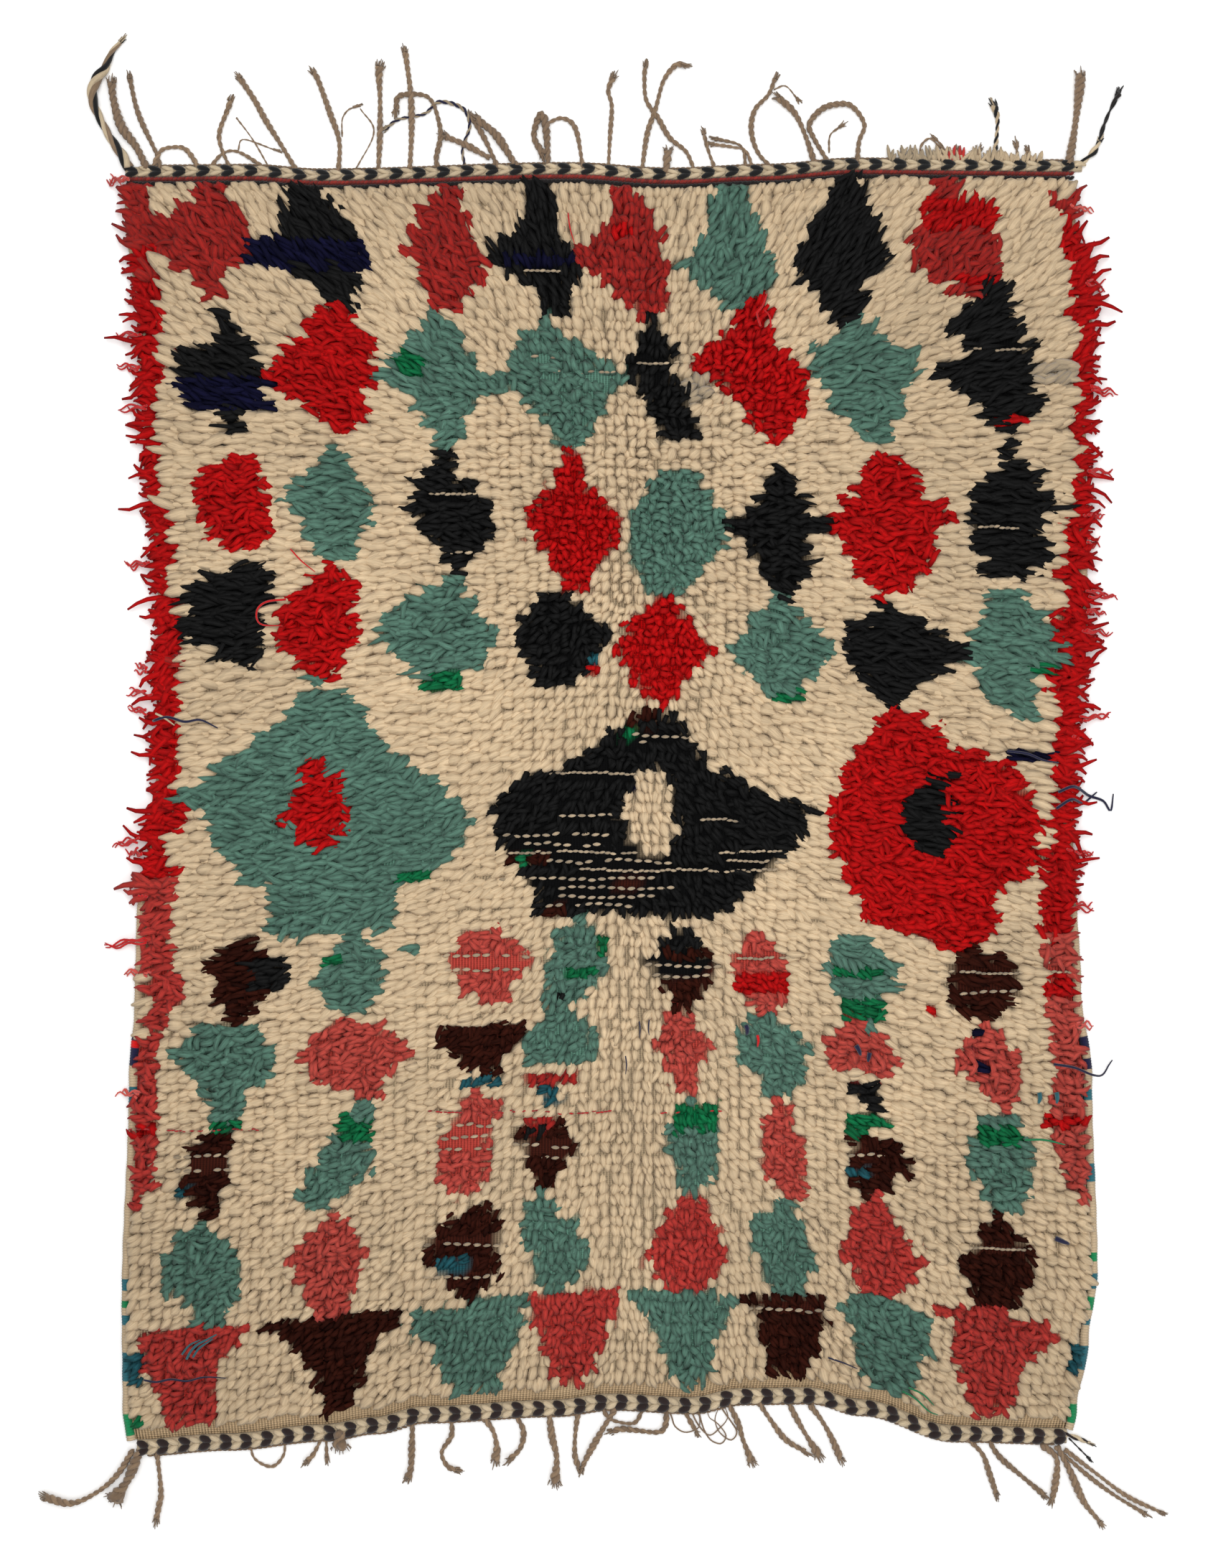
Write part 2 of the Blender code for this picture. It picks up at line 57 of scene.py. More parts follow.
# Measures of the rug, as in the part's source; cords, bands and braids as width and height
CLOTH_LENGTH = 1.36
SELVEDGE = (0.009, 0.006)
DARK_BAND = (0.0045, 0.0050)
RED_BAND = (0.0045, 0.0055)
TOP_BRAID = (0.0110, 0.0080)
BOTTOM_BRAID = (0.0165, 0.0090)
# The width of the top braid and the two twined bands under it
END_BANDS = DARK_BAND[0] + RED_BAND[0] + TOP_BRAID[0] + 3 * GAP
FLATWEAVE_WIDTH = 0.011
# How much further inward than the part's a side cord reaches, so that no gap shows beside the ground
CORD_INWARD = 0.0012
# Heights of the pile, and middle and radii of the worn stretch where it is short
PILE_LONG = 0.0205
PILE_SHORT = 0.0140
SHORT_CENTRE = (0.030, -0.260)
SHORT_RADII = (0.330, 0.520)
# Flat size and thickness of the ground, its knots across and up, and the cells of its mesh
GROUND_THICKNESS = 0.0025
COLUMNS = 88
ROWS = 115
GROUND_CELLS = (72, 97)

# Side edges of the whole cloth: y, x
LEFT_EDGE = (
    (690, -528), (623, -525), (512, -512), (354, -502), (204, -489), (6, -491), (-60, -500),
    (-160, -513), (-246, -515), (-325, -521), (-578, -529), (-689, -528), (-750, -521),
)
RIGHT_EDGE = (
    (690, 525), (610, 526), (550, 544), (465, 544), (386, 537), (164, 539), (66, 526), (-40, 521),
    (-120, 527), (-231, 532), (-325, 544), (-540, 550), (-620, 540), (-693, 527), (-750, 515),
)
# Outer edge of the top braid and lower edge of the woven cloth: x, y
TOP_EDGE = (
    (-520, 678), (-390, 679), (-313, 674), (-36, 681), (74, 675), (177, 679), (280, 686), (525, 684),
)
LOWER_EDGE = (
    (-520, -727), (-412, -720), (-305, -710), (-250, -702), (-195, -690), (-52, -683), (11, -676),
    (100, -680), (155, -670), (230, -669), (285, -682), (390, -711), (517, -714),
)

# Dyes as seen in the photo, sRGB from 0 to 255
DYES = {
    "cream": (230, 203, 165),
    "teal": (130, 184, 161),
    "coral": (218, 50, 43),
    "madder": (244, 74, 65),
    "rose": (250, 95, 82),
    "red": (230, 3, 6),
    "black": (15, 15, 16),
    "brown": (86, 35, 22),
    "navy": (25, 25, 66),
    "green": (8, 142, 84),
    "blue": (42, 112, 124),
    "grey": (200, 178, 146),
    "taupe": (162, 134, 107),
    "sand": (173, 144, 114),
    "tan": (186, 159, 124),
    "brick": (168, 52, 42),
    "soot": (36, 30, 29),
    "braid_cream": (246, 222, 184),
    "braid_brown": (44, 26, 24),
}
# Dyes of the pile, cream first, in the order of the numbers that charted() gives
CHART = (
    "cream", "teal", "coral", "madder", "rose", "red", "black", "brown", "navy", "green", "blue", "grey",
)

# Motifs, row by row down the rug: dye, then steps of y, left, right
MOTIFS = (
    ("coral", (668, -447, -416), (643, -447, -416), (622, -490, -396), (586, -494, -386),
     (573, -478, -395), (556, -450, -412), (522, -424, -412)),
    ("black", (670, -328, -322), (652, -339, -312), (630, -348, -285), (600, -366, -262),
     (588, -390, -253), (566, -350, -254), (535, -312, -268), (513, -276, -268)),
    ("coral", (668, -180, -152), (648, -185, -152), (612, -212, -149), (588, -218, -136),
     (566, -207, -122), (535, -194, -145), (514, -180, -160)),
    ("black", (674, -85, -58), (612, -86, -45), (590, -127, -36), (568, -112, -22), (543, -76, -34),
     (509, -67, -36)),
    ("coral", (663, 15, 28), (623, 6, 55), (606, 4, 70), (589, -28, 70), (563, -17, 80),
     (540, 13, 79), (504, 50, 65)),
    ("teal", (662, 129, 162), (608, 115, 180), (590, 111, 182), (572, 85, 198), (553, 98, 191),
     (522, 140, 171), (504, 150, 156)),
    ("black", (672, 272, 283), (628, 242, 295), (597, 222, 322), (573, 209, 322), (539, 231, 291),
     (504, 262, 288)),
    ("coral", (672, 367, 390), (641, 373, 404), (612, 359, 434), (586, 337, 446), (553, 355, 434),
     (532, 408, 420)),
    ("black", (513, -416, -408), (480, -432, -385), (473, -467, -376), (453, -463, -365),
     (411, -430, -365), (399, -416, -395), (378, -416, -395)),
    ("red", (523, -312, -290), (486, -337, -250), (451, -378, -246), (408, -323, -252),
     (376, -294, -278)),
    ("teal", (517, -182, -172), (486, -209, -152), (446, -246, -130), (424, -216, -136),
     (380, -185, -152), (365, -178, -165)),
    ("teal", (515, -65, -56), (493, -87, -43), (455, -105, 17), (442, -114, 32), (431, -94, 15),
     (395, -63, -7), (365, -40, -20)),
    ("black", (515, 50, 58), (470, 30, 92), (450, 28, 75), (430, 40, 97), (386, 63, 110),
     (372, 85, 100)),
    ("red", (535, 165, 186), (493, 134, 191), (453, 92, 224), (441, 131, 227), (397, 162, 229),
     (375, 188, 207)),
    ("teal", (507, 271, 288), (482, 251, 318), (472, 231, 351), (462, 231, 351), (422, 251, 333),
     (380, 282, 326), (367, 306, 318)),
    ("black", (551, 438, 446), (505, 388, 463), (468, 394, 479), (453, 348, 481), (438, 373, 479),
     (414, 418, 481), (396, 421, 479), (388, 440, 456), (355, 440, 456)),
    ("red", (363, -421, -411), (352, -419, -377), (325, -453, -371), (299, -445, -361),
     (262, -425, -367), (250, -402, -383)),
    ("teal", (372, -294, -287), (346, -311, -275), (314, -343, -248), (276, -329, -256),
     (240, -300, -275)),
    ("black", (370, -170, -162), (338, -188, -162), (307, -214, -118), (280, -198, -115),
     (254, -180, -128), (228, -165, -150)),
    ("red", (364, -38, -28), (325, -55, -11), (286, -87, 26), (260, -71, 18), (231, -50, -8),
     (205, -40, -18)),
    ("teal", (346, 73, 112), (318, 47, 112), (291, 28, 146), (254, 28, 131), (215, 50, 102),
     (205, 60, 90)),
    ("black", (352, 190, 198), (318, 183, 223), (299, 170, 233), (287, 141, 258), (275, 141, 258),
     (266, 160, 228), (239, 170, 233), (210, 188, 217), (202, 195, 210)),
    ("red", (365, 307, 327), (333, 282, 352), (309, 267, 360), (293, 261, 397), (281, 255, 373),
     (240, 276, 368), (200, 300, 320)),
    ("black", (358, 440, 456), (333, 421, 481), (299, 398, 506), (283, 409, 479), (257, 409, 494),
     (233, 418, 487), (218, 430, 450)),
    ("black", (246, -396, -386), (231, -413, -367), (215, -453, -359), (155, -458, -369),
     (134, -419, -377), (125, -405, -390)),
    ("red", (239, -300, -290), (207, -340, -264), (168, -361, -269), (129, -337, -275),
     (107, -315, -295)),
    ("teal", (226, -168, -158), (202, -206, -144), (176, -254, -125), (163, -246, -107),
     (126, -214, -136), (115, -195, -156)),
    ("black", (206, -60, -34), (189, -81, -13), (163, -92, 10), (149, -92, 8), (115, -73, -16),
     (97, -75, -37)),
    ("red", (207, 72, 80), (181, 44, 94), (149, 13, 131), (131, 26, 118), (107, 39, 94),
     (81, 60, 80)),
    ("teal", (205, 192, 200), (176, 167, 225), (149, 146, 256), (139, 144, 254), (115, 170, 235),
     (83, 190, 222)),
    ("black", (195, 307, 317), (182, 300, 337), (170, 273, 370), (149, 261, 400), (139, 270, 409),
     (106, 291, 358), (79, 310, 330)),
    ("teal", (215, 446, 456), (203, 427, 469), (142, 400, 512), (106, 418, 479), (72, 455, 481)),
    ("teal", (106, -318, -308), (90, -333, -275), (60, -360, -254), (30, -405, -230),
     (5, -430, -190), (-22, -467, -159), (-38, -436, -138), (-85, -416, -162), (-108, -398, -213),
     (-117, -367, -224), (-166, -367, -224)),
    ("red", (31, -310, -302), (19, -333, -295), (-2, -329, -285), (-43, -360, -275),
     (-64, -326, -282), (-77, -312, -293)),
    ("black", (81, 56, 66), (59, 18, 96), (17, -37, 123), (7, -87, 139), (-30, -121, 239),
     (-62, -119, 228), (-103, -87, 183), (-124, -71, 157), (-148, -73, 144)),
    ("cream", (14, 50, 66), (2, 40, 76), (-12, 30, 84), (-32, 24, 80), (-48, 29, 84), (-62, 34, 87),
     (-76, 44, 80), (-86, 54, 72)),
    ("red", (80, 336, 344), (68, 304, 357), (43, 299, 379), (32, 277, 412), (15, 271, 464),
     (-50, 249, 488), (-99, 265, 480), (-121, 284, 444), (-154, 293, 437), (-165, 331, 435),
     (-176, 368, 415), (-190, 395, 404)),
    ("black", (8, 367, 401), (-12, 344, 379), (-47, 331, 375), (-58, 333, 393), (-83, 364, 378)),
    ("brown", (-173, -396, -388), (-194, -427, -351), (-207, -435, -348), (-233, -424, -359),
     (-265, -410, -395)),
    ("teal", (-167, -275, -265), (-191, -303, -235), (-220, -319, -238), (-254, -285, -259),
     (-263, -280, -265)),
    ("rose", (-165, -141, -120), (-172, -154, -100), (-199, -173, -72), (-219, -160, -85),
     (-251, -132, -114)),
    ("teal", (-153, -30, -9), (-175, -53, -2), (-207, -56, 7), (-219, -62, -2), (-240, -60, -21)),
    ("black", (-158, 88, 98), (-170, 76, 106), (-176, 62, 116), (-187, 60, 118)),
    ("brown", (-186, 60, 118), (-192, 60, 118), (-194, 49, 126), (-218, 56, 124), (-228, 71, 119),
     (-252, 82, 100)),
    ("rose", (-166, 165, 183), (-198, 146, 215), (-239, 165, 206), (-254, 175, 195)),
    ("teal", (-167, 269, 287), (-179, 254, 303), (-209, 248, 330), (-239, 262, 314),
     (-277, 286, 298)),
    ("brown", (-181, 409, 417), (-203, 378, 456), (-224, 388, 468), (-245, 390, 453),
     (-262, 410, 430)),
    ("teal", (-267, -419, -395), (-273, -445, -374), (-301, -468, -361), (-327, -450, -359),
     (-338, -437, -385), (-390, -430, -397)),
    ("rose", (-265, -285, -261), (-273, -317, -232), (-301, -329, -206), (-327, -322, -238),
     (-343, -282, -240), (-353, -270, -250)),
    ("brown", (-265, -155, -90), (-281, -186, -81), (-305, -167, -102), (-321, -152, -115)),
    ("teal", (-246, -55, -35), (-281, -81, -2), (-291, -83, 2), (-314, -81, -16)),
    ("rose", (-251, 77, 93), (-291, 61, 126), (-311, 72, 111), (-346, 88, 102)),
    ("teal", (-258, 169, 194), (-270, 161, 214), (-290, 150, 231), (-317, 152, 228),
     (-323, 175, 222), (-340, 178, 216), (-350, 188, 208)),
    ("rose", (-262, 269, 280), (-285, 244, 322), (-310, 246, 330), (-328, 308, 328)),
    ("rose", (-264, 416, 428), (-303, 390, 468), (-325, 408, 464), (-348, 423, 461),
     (-361, 435, 450)),
    ("brown", (-384, -432, -408), (-406, -450, -408), (-440, -462, -411), (-461, -453, -413),
     (-483, -440, -425)),
    ("teal", (-356, -269, -248), (-395, -301, -251), (-422, -314, -254), (-461, -335, -290),
     (-476, -317, -306)),
    ("rose", (-343, -144, -115), (-364, -156, -110), (-395, -182, -125), (-438, -180, -120),
     (-453, -160, -140)),
    ("brown", (-367, -83, -46), (-394, -97, -25), (-418, -85, -34), (-450, -70, -58)),
    ("teal", (-348, 103, 110), (-366, 82, 128), (-395, 70, 137), (-424, 81, 130), (-455, 95, 108)),
    ("rose", (-346, 194, 204), (-391, 176, 222), (-431, 176, 233), (-457, 200, 220)),
    ("black", (-329, 269, 312), (-368, 300, 314), (-386, 275, 322)),
    ("brown", (-388, 280, 328), (-427, 272, 343), (-444, 280, 325), (-463, 295, 310)),
    ("teal", (-363, 426, 463), (-378, 413, 466), (-423, 405, 481), (-449, 420, 473),
     (-473, 435, 455)),
    ("teal", (-487, -444, -425), (-498, -468, -417), (-536, -485, -393), (-563, -483, -398),
     (-577, -458, -401), (-600, -440, -420)),
    ("rose", (-474, -300, -292), (-512, -336, -259), (-525, -349, -257), (-580, -322, -281),
     (-596, -305, -290)),
    ("brown", (-468, -140, -112), (-495, -183, -110), (-522, -194, -107), (-555, -175, -121),
     (-569, -155, -140)),
    ("teal", (-454, -75, -67), (-488, -87, -32), (-517, -84, -6), (-554, -66, -29),
     (-567, -55, -42)),
    ("madder", (-456, 100, 109), (-476, 76, 120), (-520, 52, 139), (-533, 56, 139), (-559, 73, 112),
     (-578, 88, 98)),
    ("teal", (-457, 203, 211), (-483, 167, 220), (-510, 165, 233), (-536, 181, 243),
     (-575, 195, 208)),
    ("madder", (-456, 294, 306), (-506, 264, 340), (-529, 269, 362), (-550, 280, 348),
     (-573, 300, 318)),
    ("brown", (-471, 431, 439), (-506, 417, 466), (-526, 392, 480), (-561, 410, 472),
     (-589, 430, 445)),
    ("madder", (-596, -439, -382), (-606, -505, -385), (-642, -504, -423), (-705, -477, -425),
     (-720, -460, -440)),
    ("brown", (-582, -240, -224), (-599, -379, -226), (-615, -346, -246), (-659, -319, -265),
     (-702, -295, -280)),
    ("teal", (-568, -92, -81), (-582, -195, -82), (-599, -224, -84), (-615, -194, -95),
     (-661, -172, -110), (-687, -161, -115)),
    ("madder", (-562, -84, 24), (-593, -71, 13), (-635, -60, -3), (-678, -42, -28)),
    ("teal", (-565, 24, 154), (-593, 55, 141), (-653, 76, 118), (-676, 88, 108)),
    ("brown", (-567, 154, 252), (-593, 173, 255), (-641, 186, 236), (-662, 191, 213)),
    ("teal", (-570, 258, 300), (-585, 262, 367), (-598, 278, 367), (-652, 290, 350),
     (-687, 308, 322)),
    ("madder", (-577, 367, 417), (-596, 389, 494), (-617, 389, 506), (-640, 392, 475),
     (-691, 412, 452), (-712, 430, 440)),
)

# Small patches of other yarn: dye, left, right, lower y, upper y
PATCHES = (
    ("navy", -390, -255, 566, 598),
    ("navy", -114, -28, 568, 584),
    ("red", 8, 42, 597, 608),
    ("red", 359, 434, 607, 638),
    ("navy", -463, -365, 411, 440),
    ("green", -224, -197, 446, 475),
    ("teal", -138, -81, 431, 446),
    ("grey", 94, 128, 418, 443),
    ("green", -194, -156, 99, 117),
    ("blue", -8, 6, 133, 142),
    ("red", -19, 3, 110, 122),
    ("green", 189, 223, 81, 95),
    ("green", 475, 494, 115, 128),
    ("green", -224, -192, -108, -95),
    ("brown", -105, -60, -92, -80),
    ("green", -90, -78, -92, -82),
    ("green", 30, 64, 51, 59),
    ("brown", 34, 68, 62, 74),
    ("brown", 18, 52, -123, -112),
    ("brown", -62, -36, -146, -134),
    ("navy", 42, 56, -6, 4),
    ("navy", 446, 500, 22, 37),
    ("green", -303, -288, -209, -190),
    ("teal", -217, -203, -192, -178),
    ("green", -6, 5, -191, -175),
    ("green", -41, -4, -216, -204),
    ("black", -55, -33, -247, -237),
    ("red", 150, 212, -235, -207),
    ("green", 259, 318, -217, -202),
    ("green", 265, 312, -262, -239),
    ("red", 363, 376, -258, -245),
    ("green", -430, -397, -386, -370),
    ("blue", -152, -115, -337, -326),
    ("coral", -81, -28, -335, -321),
    ("blue", -71, -46, -353, -337),
    ("navy", 414, 426, -288, -276),
    ("navy", 414, 426, -319, -307),
    ("green", -290, -251, -398, -369),
    ("blue", -470, -454, -455, -443),
    ("coral", -80, -50, -382, -368),
    ("green", 79, 130, -386, -353),
    ("green", 272, 322, -386, -370),
    ("blue", 280, 303, -433, -421),
    ("green", 413, 466, -401, -376),
    ("blue", -183, -142, -539, -525),
    ("blue", -545, -518, -565, -548),
    ("green", -545, -521, -582, -572),
    ("blue", -545, -519, -602, -588),
    ("blue", -545, -504, -664, -628),
    ("green", -545, -506, -723, -697),
    ("blue", 530, 560, -354, -340),
    ("red", 486, 560, -383, -371),
    ("cream", 535, 560, -470, -384),
    ("blue", 538, 560, -443, -421),
    ("green", 537, 560, -531, -519),
    ("blue", 538, 560, -562, -542),
    ("green", 535, 560, -584, -568),
    ("blue", 534, 560, -602, -592),
    ("blue", 520, 560, -650, -622),
    ("green", 514, 560, -710, -685),
    ("coral", -467, -455, 125, 135),
    ("black", 49, 126, -204, -192),
    ("black", 56, 122, -217, -207),
    ("black", -90, -60, -391, -379),
    ("grey", 477, 520, 438, 464),
    ("red", 395, 440, 546, 556),
    ("red", 440, 474, 388, 401),
    ("black", -384, -346, -232, -192),
    ("cream", -545, -500, -290, -125),
)
# Rows where the motif's yarn is worn away, so that the weft shows in one line: left, right, y
WORN_LINES = (
    (409, 466, 475), (-25, 13, 448), (40, 100, 460), (-188, -140, 316), (397, 464, 278),
    (-56, 60, 9), (-107, 42, -78), (-23, 190, -98), (130, 196, -78), (133, 208, -88),
    (110, 150, -43), (150, 210, -194), (365, 514, -210), (-84, -48, 559), (403, 472, -513),
)
# Rows where it shows in dashes between short tufts: left, right, y
WORN_DASHES = (
    (-76, -52, 466), (-63, -47, 450), (-170, -130, 250), (35, 98, 50), (32, 50, 42),
    (-46, 17, -37), (-107, 11, -59), (-84, -5, -69), (-60, 84, -88), (-111, 61, -107),
    (-46, 78, -117), (-46, 61, -127), (-60, 30, -136), (-173, -72, -192), (-173, -72, -207),
    (49, 126, -203), (58, 123, -214), (-97, -25, -401), (-97, -25, -413), (-468, -411, -412),
    (-468, -411, -427), (272, 312, -412), (-194, -107, -510), (-194, -107, -545), (160, 255, -581),
    (-180, -125, -379), (-175, -120, -392), (-182, -125, -405), (395, 460, -232),
)

# Inner edge of the coloured side borders: y, x
LEFT_BORDER = (
    (623, -497), (544, -488), (488, -479), (433, -485), (393, -485), (354, -480), (307, -480),
    (291, -471), (243, -467), (188, -463), (133, -453), (70, -459), (6, -463), (-21, -453),
    (-73, -468), (-128, -467), (-175, -475), (-207, -465), (-244, -457), (-270, -483), (-325, -491),
    (-404, -491), (-452, -492), (-483, -522),
)
RIGHT_BORDER = (
    (646, 498), (607, 509), (528, 514), (488, 519), (417, 523), (354, 523), (314, 513), (259, 507),
    (164, 501), (101, 493), (46, 499), (-9, 489), (-167, 489), (-199, 493), (-246, 491),
    (-286, 497), (-373, 495), (-404, 505), (-436, 510), (-469, 537),
)
# Stretches of each border: dye, lower y, upper y
LEFT_STRETCHES = (
    ("coral", 584, 662), ("red", 565, 584), ("coral", 548, 565), ("red", -108, 548),
    ("madder", -483, -108), ("red", -392, -379),
)
RIGHT_STRETCHES = (
    ("coral", 625, 648), ("red", -168, 625), ("rose", -469, -168), ("red", -235, -219),
    ("red", -382, -374),
)
# Wrapped stretches of the side cords: dye, lower y, upper y
LEFT_WRAPS = (
    ("navy", 53, 70), ("black", 11, 18), ("navy", -314, -280), ("red", -294, -286),
    ("blue", -355, -337), ("blue", -562, -549), ("green", -581, -573), ("blue", -600, -589),
    ("blue", -662, -630), ("green", -722, -698),
)
RIGHT_WRAPS = (
    ("navy", -298, -282), ("navy", -318, -306), ("blue", -352, -340), ("blue", -442, -422),
    ("green", -530, -520), ("blue", -560, -543), ("green", -583, -569), ("blue", -600, -593),
    ("blue", -649, -623), ("green", -708, -687),
)

rng = np.random.default_rng(SEED)


def srgb(name):
    """A dye as linear red, green and blue."""
    share = np.array(DYES[name], float) / 255
    return np.where(share <= 0.04045, share / 12.92, ((share + 0.055) / 1.055) ** 2.4)


def eased(table, at):
    """The second column of a table at values of its first, eased between rows, in metres."""
    rows = np.array(sorted(table), float) * MM
    at = np.clip(at, rows[0, 0], rows[-1, 0])
    row = np.clip(np.searchsorted(rows[:, 0], at, side="right") - 1, 0, len(rows) - 2)
    low, high = rows[row], rows[row + 1]
    share = 0.5 - 0.5 * np.cos(math.pi * (at - low[..., 0]) / (high[..., 0] - low[..., 0]))
    return low[..., 1] + (high[..., 1] - low[..., 1]) * share


def ramp(value, start, length):
    """A share that grows from 0 at the start to 1 over a length, which may run downward."""
    return np.clip((value - start) / length, 0, 1)


def cloth_points(u, v):
    """Points of the cloth inside its side cords and bands, with u across and v up its length."""
    y = CLOTH_LENGTH * (v - 0.5)
    for _ in range(3):
        left = eased(LEFT_EDGE, y) + SELVEDGE[0] + GAP
        right = eased(RIGHT_EDGE, y) - SELVEDGE[0] - GAP
        x = left + (right - left) * u
        low = eased(LOWER_EDGE, x)
        high = eased(TOP_EDGE, x) - END_BANDS
        y = low + (high - low) * v
    return np.stack([x, y], axis=-1)


def charted(x, y):
    """The dye of the pile at each place, as an index into CHART."""
    dye = np.zeros(x.shape, int)
    for edge, stretches, side in (
        (LEFT_BORDER, LEFT_STRETCHES, -1),
        (RIGHT_BORDER, RIGHT_STRETCHES, 1),
    ):
        rows = np.array(sorted(edge), float) * MM
        inner = np.interp(y, rows[:, 0], rows[:, 1])
        for name, low, high in stretches:
            inside = (side * (x - inner) > 0) & (y > low * MM) & (y < high * MM)
            dye[inside] = CHART.index(name)
    for name, *steps in MOTIFS:
        rows = np.array(steps[::-1], float) * MM
        left = np.interp(y, rows[:, 0], rows[:, 1])
        right = np.interp(y, rows[:, 0], rows[:, 2])
        inside = (y > rows[0, 0]) & (y < rows[-1, 0]) & (x > left) & (x < right)
        dye[inside] = CHART.index(name)
    for name, left, right, low, high in PATCHES:
        inside = (x > left * MM) & (x < right * MM) & (y > low * MM) & (y < high * MM)
        dye[inside] = CHART.index(name)
    return dye


# Where the pile parts and leans to both sides: x, and the way from there to the full lean
PARTING = (0.035, 0.276)
# The share of that lean: y, share
SIDE_LEAN = ((-0.52, 0.44), (-0.30, 0.62), (-0.08, 1.0))
# Stretches where the pile leans up the rug, down it, and down it once more: y, length, amount
UP_LEAN = (0.370, 0.237, 1.0)
DOWN_LEAN = (0.30, -0.2, 0.34)
LOW_LEAN = (-0.420, -0.15, 0.22)
# How far the short middle of the pile goes on, in its radii, and the height of the pile's lumps
SHORT_SPREAD = 1.25
LUMPS = 0.0011


def lying(x, y):
    """How the pile lies: a direction outward, as long as 1 where it lies right over."""
    side = np.clip((x - PARTING[0]) / PARTING[1], -1, 1)
    across = side * np.interp(y, *zip(*SIDE_LEAN))
    down = DOWN_LEAN[2] * (1 - 0.45 * np.abs(side)) * ramp(y, *DOWN_LEAN[:2])
    along = UP_LEAN[2] * ramp(y, *UP_LEAN[:2]) - down - LOW_LEAN[2] * ramp(y, *LOW_LEAN[:2])
    return np.stack([across, along], axis=-1)


def pile_height(x, y):
    """The height of the pile over the floor, short in the worn middle and lumpy all over."""
    out = ((x - SHORT_CENTRE[0]) / SHORT_RADII[0]) ** 2 + ((y - SHORT_CENTRE[1]) / SHORT_RADII[1]) ** 2
    short = np.clip(SHORT_SPREAD - out, 0, 1)
    lumps = np.sin(x * 37 + 1.7) * np.sin(y * 29 + 0.4) + 0.6 * np.sin(x * 71 - y * 53)
    return PILE_LONG + (PILE_SHORT - PILE_LONG) * short + LUMPS * lumps


def normalised(v):
    """Vectors of length 1."""
    return v / np.maximum(np.linalg.norm(v, axis=-1, keepdims=True), 1e-9)


def sideways(ahead):
    """Level vectors square to level directions."""
    return np.stack([-ahead[:, 1], ahead[:, 0], 0 * ahead[:, 0]], axis=-1)


def raised(flat, z):
    """Level points lifted to their heights."""
    return np.concatenate([flat, z[..., None]], axis=-1)


def tints(count):
    """A random tint between 0 and 1 for each tube."""
    return np.clip(rng.normal(0.5, 0.2, count), 0, 1)


def tube_faces(count, rings, sides, root_closed, tip_closed):
    """Corner indices and face sizes of many tubes alike."""
    ring = np.arange(sides)
    after = (ring + 1) % sides
    quads = []
    for r in range(rings - 1):
        a, b = r * sides, (r + 1) * sides
        quads.append(np.stack([a + ring, a + after, b + after, b + ring], axis=1))
    flat = np.concatenate(quads).ravel()
    sizes = [4] * (sides * (rings - 1))
    if root_closed:
        flat = np.concatenate([flat, ring[::-1]])
        sizes.append(sides)
    if tip_closed:
        flat = np.concatenate([flat, (rings - 1) * sides + ring])
        sizes.append(sides)
    starts = np.arange(count)[:, None] * rings * sides
    return (starts + flat).ravel(), np.tile(sizes, count)


def tubes(centres, across, half_width, half_height, sides, tint, streak=STREAK,
          root_closed=False, tip_closed=True):
    """Many tubes of one ring count: corners, faces, and fibre and yarn coordinates for the materials."""
    count, rings, _ = centres.shape
    ahead = normalised(np.gradient(centres, axis=1))
    across = normalised(across - ahead * (across * ahead).sum(-1, keepdims=True))
    up = np.cross(across, ahead)
    angle = math.pi / 2 + np.arange(sides) * 2 * math.pi / sides
    a = half_width[..., None] * np.cos(angle)
    b = half_height[..., None] * np.sin(angle)
    corners = (
        centres[:, :, None]
        + across[:, :, None] * a[..., None]
        + up[:, :, None] * b[..., None]
    )
    step = np.linalg.norm(np.diff(centres, axis=1), axis=-1)
    run = np.concatenate([np.zeros((count, 1)), np.cumsum(step, axis=1)], axis=1)
    shift = rng.uniform(0, 9, (count, 1, 1))
    fibre = np.stack([a + shift, b + 0 * shift, 0 * a + run[..., None] * streak + shift], axis=-1)
    along = np.broadcast_to(np.linspace(0, 1, rings)[None, :, None], a.shape)
    # upper: height round each tube, which the wool material uses for painted shade on the lower flanks
    upper = np.broadcast_to(0.5 + 0.5 * np.sin(angle), a.shape)
    yarn = np.stack([np.broadcast_to(tint[:, None, None], a.shape), along, upper], axis=-1)
    flat, sizes = tube_faces(count, rings, sides, root_closed, tip_closed)
    return {
        "corners": corners.reshape(-1, 3),
        "flat": flat,
        "sizes": sizes,
        "fibre": fibre.reshape(-1, 3),
        "yarn": yarn.reshape(-1, 3),
        "per": rings * sides,
    }


def dyed(part, colours):
    """The same tubes with a colour for each of them and no painted shade at their roots."""
    part["yarn"][:, 1] = 1.0
    part["dye"] = np.repeat(np.asarray(colours, float), part["per"], axis=0)
    return part


def joined(parts):
    """Several sets of tubes as one."""
    made = {}
    starts = np.cumsum([0] + [len(p["corners"]) for p in parts])
    made["flat"] = np.concatenate([p["flat"] + s for p, s in zip(parts, starts)])
    for key in ("corners", "sizes", "fibre", "yarn", "dye"):
        if all(key in p for p in parts):
            made[key] = np.concatenate([p[key] for p in parts])
    return made


